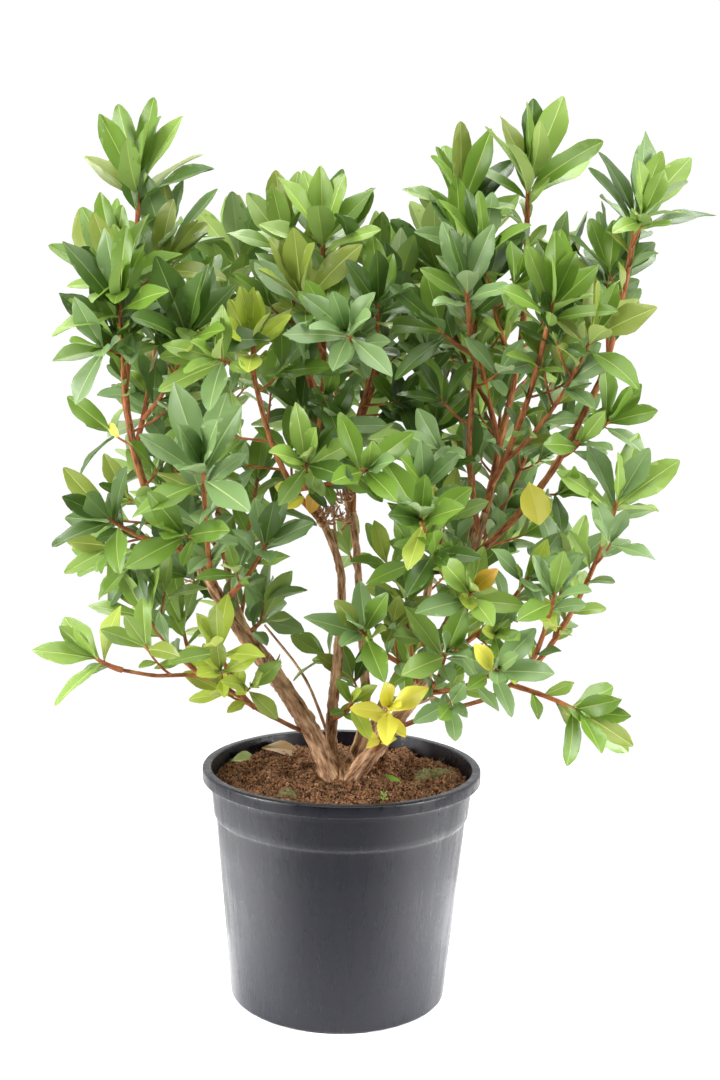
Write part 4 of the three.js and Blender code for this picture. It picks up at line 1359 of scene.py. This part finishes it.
class AZALEA_OT_stems(Operator):
    """Make the woody stems, with their flared foot, and the boughs"""

    bl_idname = "azalea.stems"
    bl_label = "Stems and Boughs"

    def execute(self, context):
        depth = settings_of(context, "bark").relief
        limbs = grow_limbs()
        stems = Batch()
        for seed, (name, (foot, tip), _) in enumerate(STEMS):
            line = limbs[name]
            flare = 1 + 0.35 * np.exp(-np.linspace(0, line.length, 40) / 22)
            radii = np.linspace(foot, tip, 40) * flare
            tube(stems, line, radii, 26, 3.0, bark_relief(depth, 7 * seed))
        crown = Line([(-2, 27, 256), (-2, 27, 302)])
        tube(stems, crown, (34, 31, 25, 19, 13), 40, 2.5, bark_relief(1.3 * depth, 50))
        top = limbs["left_stem"].at(1)
        tube(stems, Line([top - [0, 0, 8], top + [-7, 2, 20]]), (6.4, 5.6, 5.2), 20, 2.5,
             bark_relief(1.6 * depth, 61))
        draw = Draws(5)
        for middle, spread in DEAD_KNOTS:
            for _ in range(16):
                way = np.array([draw() - 0.5, draw() - 0.5, 0.9 * draw() - 0.3])
                foot = np.array(middle) + spread * np.array([draw() - 0.5, draw() - 0.5, draw() - 0.5])
                bend = foot + unit(way) * (5 + 6 * draw())
                end = bend + unit(way + 1.2 * np.array([draw() - 0.5, draw() - 0.5, draw()])) * 8
                tube(stems, curved_line([foot, bend, end], 5), (1.7, 1.4, 0.7), 6, 3)
        for seed, points in enumerate(BARE_TWIGS):
            tube(stems, curved_line(points), (2.2, 1.5), 10, 4, bark_relief(0.5 * depth, 70 + seed))
        piece = stems.build("barked_stems", [bark_material("old_bark", "e6bf98", "9f7352", "2e1c14")])
        finish_piece(piece, nodes_named("_stem") + ["root_crown"])
        boughs = Batch()
        for seed, (name, _, _, radii, _) in enumerate(BOUGHS):
            tube(boughs, limbs[name], radii, 16, 3.5, bark_relief(0.6 * depth, 5 * seed + 3))
        bark = bark_material("bough_bark", "c08452", "8e5633", "452a1d", 1.4)
        finish_piece(boughs.build("barked_boughs", [bark]), nodes_named("_bough"))
        return {"FINISHED"}


class AZALEA_OT_foliage(Operator):
    """Grow the shoots, twigs, leaves and buds"""

    bl_idname = "azalea.foliage"
    bl_label = "Shoots and Leaves"

    def execute(self, context):
        settings = settings_of(context, "foliage")
        shoots, leaves = grow_plant(settings)
        twigs = Batch()
        for seed, shoot in enumerate(shoots):
            tube(twigs, shoot.line, shoot.radii, 8, 7.0, bark_relief(0.08, seed))
        bark = bark_material("shoot_bark", "bd7a4c", "985a36", "6b3a25", 2.0, 0.0004)
        finish_piece(twigs.build("leafy_shoots", [bark]))
        batches = {tint: Batch() for tint in TINTS if tint != "dry"}
        for leaf in leaves:
            add_leaf(batches[leaf.tint], leaf, RIB_SHARE * leaf.length, settings.thickness)
        yellow_nodes = ["yellow_shoot_foliage"]
        green_nodes = [name for name in nodes_named("_foliage") if name not in yellow_nodes]
        for tint, batch in batches.items():
            nodes = {"mid": green_nodes, "yellow": yellow_nodes}.get(tint, [])
            finish_piece(batch.build(f"leaves_{tint}", leaf_materials(tint)), nodes)
        return {"FINISHED"}


# The stage: sides of the round floor, the direction in which the sky is dim, the camera's place in
# metres, its tilt below level and its roll in degrees, its focal length and the height of its picture in
# pixels, and the width of its sensor in millimetres.
FLOOR_SIDES = 96
DIM_DIRECTION = (0, -0.97, 0.24)
CAMERA_PLACE = (0.017, -1.960, 0.857)
CAMERA_PITCH = 7.97
CAMERA_ROLL = 1.2
FOCAL_LENGTH = 1600
VIEW_HEIGHT = 1080
SENSOR = 36


def area_light(name, place, aim, size, strength, spread=180):
    """A rectangular light that shines from its place towards its aim, with its spread in degrees."""
    light = bpy.data.lights.new(name, "AREA")
    light.shape = "RECTANGLE"
    light.size, light.size_y = size
    light.energy = strength
    light.spread = math.radians(spread)
    lamp = bpy.data.objects.new(name, light)
    lamp.location = place
    lamp.rotation_euler = (Vector(aim) - Vector(place)).to_track_quat("-Z", "Y").to_euler()
    bpy.context.scene.collection.objects.link(lamp)


def studio_world(settings):
    """White behind the shrub and dim behind the camera, so that the pot's front looks dark."""
    world = bpy.data.worlds.new("studio")
    world.use_nodes = True
    tree = world.node_tree
    way = add_node(tree, "ShaderNodeTexCoord")
    part = add_node(tree, "ShaderNodeVectorMath", {0: way.outputs["Generated"]}, operation="DOT_PRODUCT")
    part.inputs[1].default_value = DIM_DIRECTION
    ramp = add_node(tree, "ShaderNodeValToRGB", {"Fac": part.outputs["Value"]})
    fill_ramp(ramp, [(0.0, 1.0), (0.15, settings.sides), (0.45, settings.sides), (0.8, settings.dim)])
    background = tree.nodes["Background"]
    background.inputs["Strength"].default_value = settings.world
    tree.links.new(ramp.outputs["Color"], background.inputs["Color"])
    return world


class AZALEA_OT_stage(Operator):
    """Set up the floor, lights, sky and camera"""

    bl_idname = "azalea.stage"
    bl_label = "Stage"

    def execute(self, context):
        settings = settings_of(context, "stage")
        scene = context.scene
        angles = np.linspace(0, 2 * math.pi, FLOOR_SIDES, endpoint=False)
        rim = np.stack([np.cos(angles), np.sin(angles), 0 * angles], 1) * settings.floor_radius / MM
        at = np.arange(FLOOR_SIDES)
        fan = np.stack([at, np.roll(at, -1), np.full(FLOOR_SIDES, FLOOR_SIDES)], 1)
        floor = Batch()
        floor.add(np.vstack([rim, [[0, 0, 0]]]), [], fan)
        ground = Shader("studio_floor", Base_Color=(*settings.floor, 1.0), Roughness=0.7,
                        Specular_IOR_Level=0.2)
        floor.build("studio_floor", [ground.material])
        area_light("overhead", (0.2, -0.7, 2.9), (0, 0, 0.5), (3.0, 2.6), settings.light)
        area_light("back_light", (0, 1.1, 2.2), (0, 0.8, 0), (3.2, 1.0), 40, 80)
        area_light("left_softbox", (-2.0, -1.1, 0.9), (0, 0, 0.5), (0.9, 1.8), 58)
        area_light("right_softbox", (2.0, -1.0, 0.9), (0, 0, 0.5), (0.8, 1.8), 44)
        for side in (-1, 1):
            place, aim = (0.78 * side, -0.22, 0.36), (0.34 * side, -0.04, 0)
            area_light("floor_fill", place, aim, (0.5, 0.3), 5.5, 64)
        scene.world = studio_world(settings)
        scene.view_settings.view_transform = "Standard"
        camera = bpy.data.cameras.new("camera")
        camera.sensor_width = SENSOR
        camera.lens = FOCAL_LENGTH / VIEW_HEIGHT * SENSOR
        viewer = bpy.data.objects.new("camera", camera)
        pitch = Matrix.Rotation(math.radians(90 - CAMERA_PITCH), 4, "X")
        roll = Matrix.Rotation(math.radians(CAMERA_ROLL), 4, "Z")
        viewer.matrix_world = Matrix.Translation(CAMERA_PLACE) @ pitch @ roll
        scene.collection.objects.link(viewer)
        scene.camera = viewer
        return {"FINISHED"}


class AZALEA_PT_panel(Panel):
    """Lists the steps that make the shrub"""

    bl_label = "Azalea"
    bl_idname = "AZALEA_PT_panel"
    bl_space_type = "VIEW_3D"
    bl_region_type = "UI"
    bl_category = "Azalea"

    def draw(self, context):
        for operator in OPERATORS:
            self.layout.operator(operator.bl_idname)
        for name in SETTINGS:
            box = self.layout.box()
            settings = settings_of(context, name)
            for key in settings.bl_rna.properties.keys():
                if key not in {"rna_type", "name"}:
                    box.prop(settings, key)


OPERATORS = (AZALEA_OT_pot, AZALEA_OT_soil, AZALEA_OT_litter, AZALEA_OT_stems, AZALEA_OT_foliage,
             AZALEA_OT_stage)


def register():
    for kind in (*SETTINGS.values(), *OPERATORS, AZALEA_PT_panel):
        bpy.utils.register_class(kind)
    for name, kind in SETTINGS.items():
        setattr(bpy.types.Scene, f"azalea_{name}", PointerProperty(type=kind))


def unregister():
    for name in SETTINGS:
        delattr(bpy.types.Scene, f"azalea_{name}")
    for kind in reversed((*SETTINGS.values(), *OPERATORS, AZALEA_PT_panel)):
        bpy.utils.unregister_class(kind)


def main():
    register()
    bpy.ops.azalea.pot()
    bpy.ops.azalea.soil()
    bpy.ops.azalea.litter()
    bpy.ops.azalea.stems()
    bpy.ops.azalea.foliage()
    bpy.ops.azalea.stage()
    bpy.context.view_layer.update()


if __name__ == "__main__":
    main()
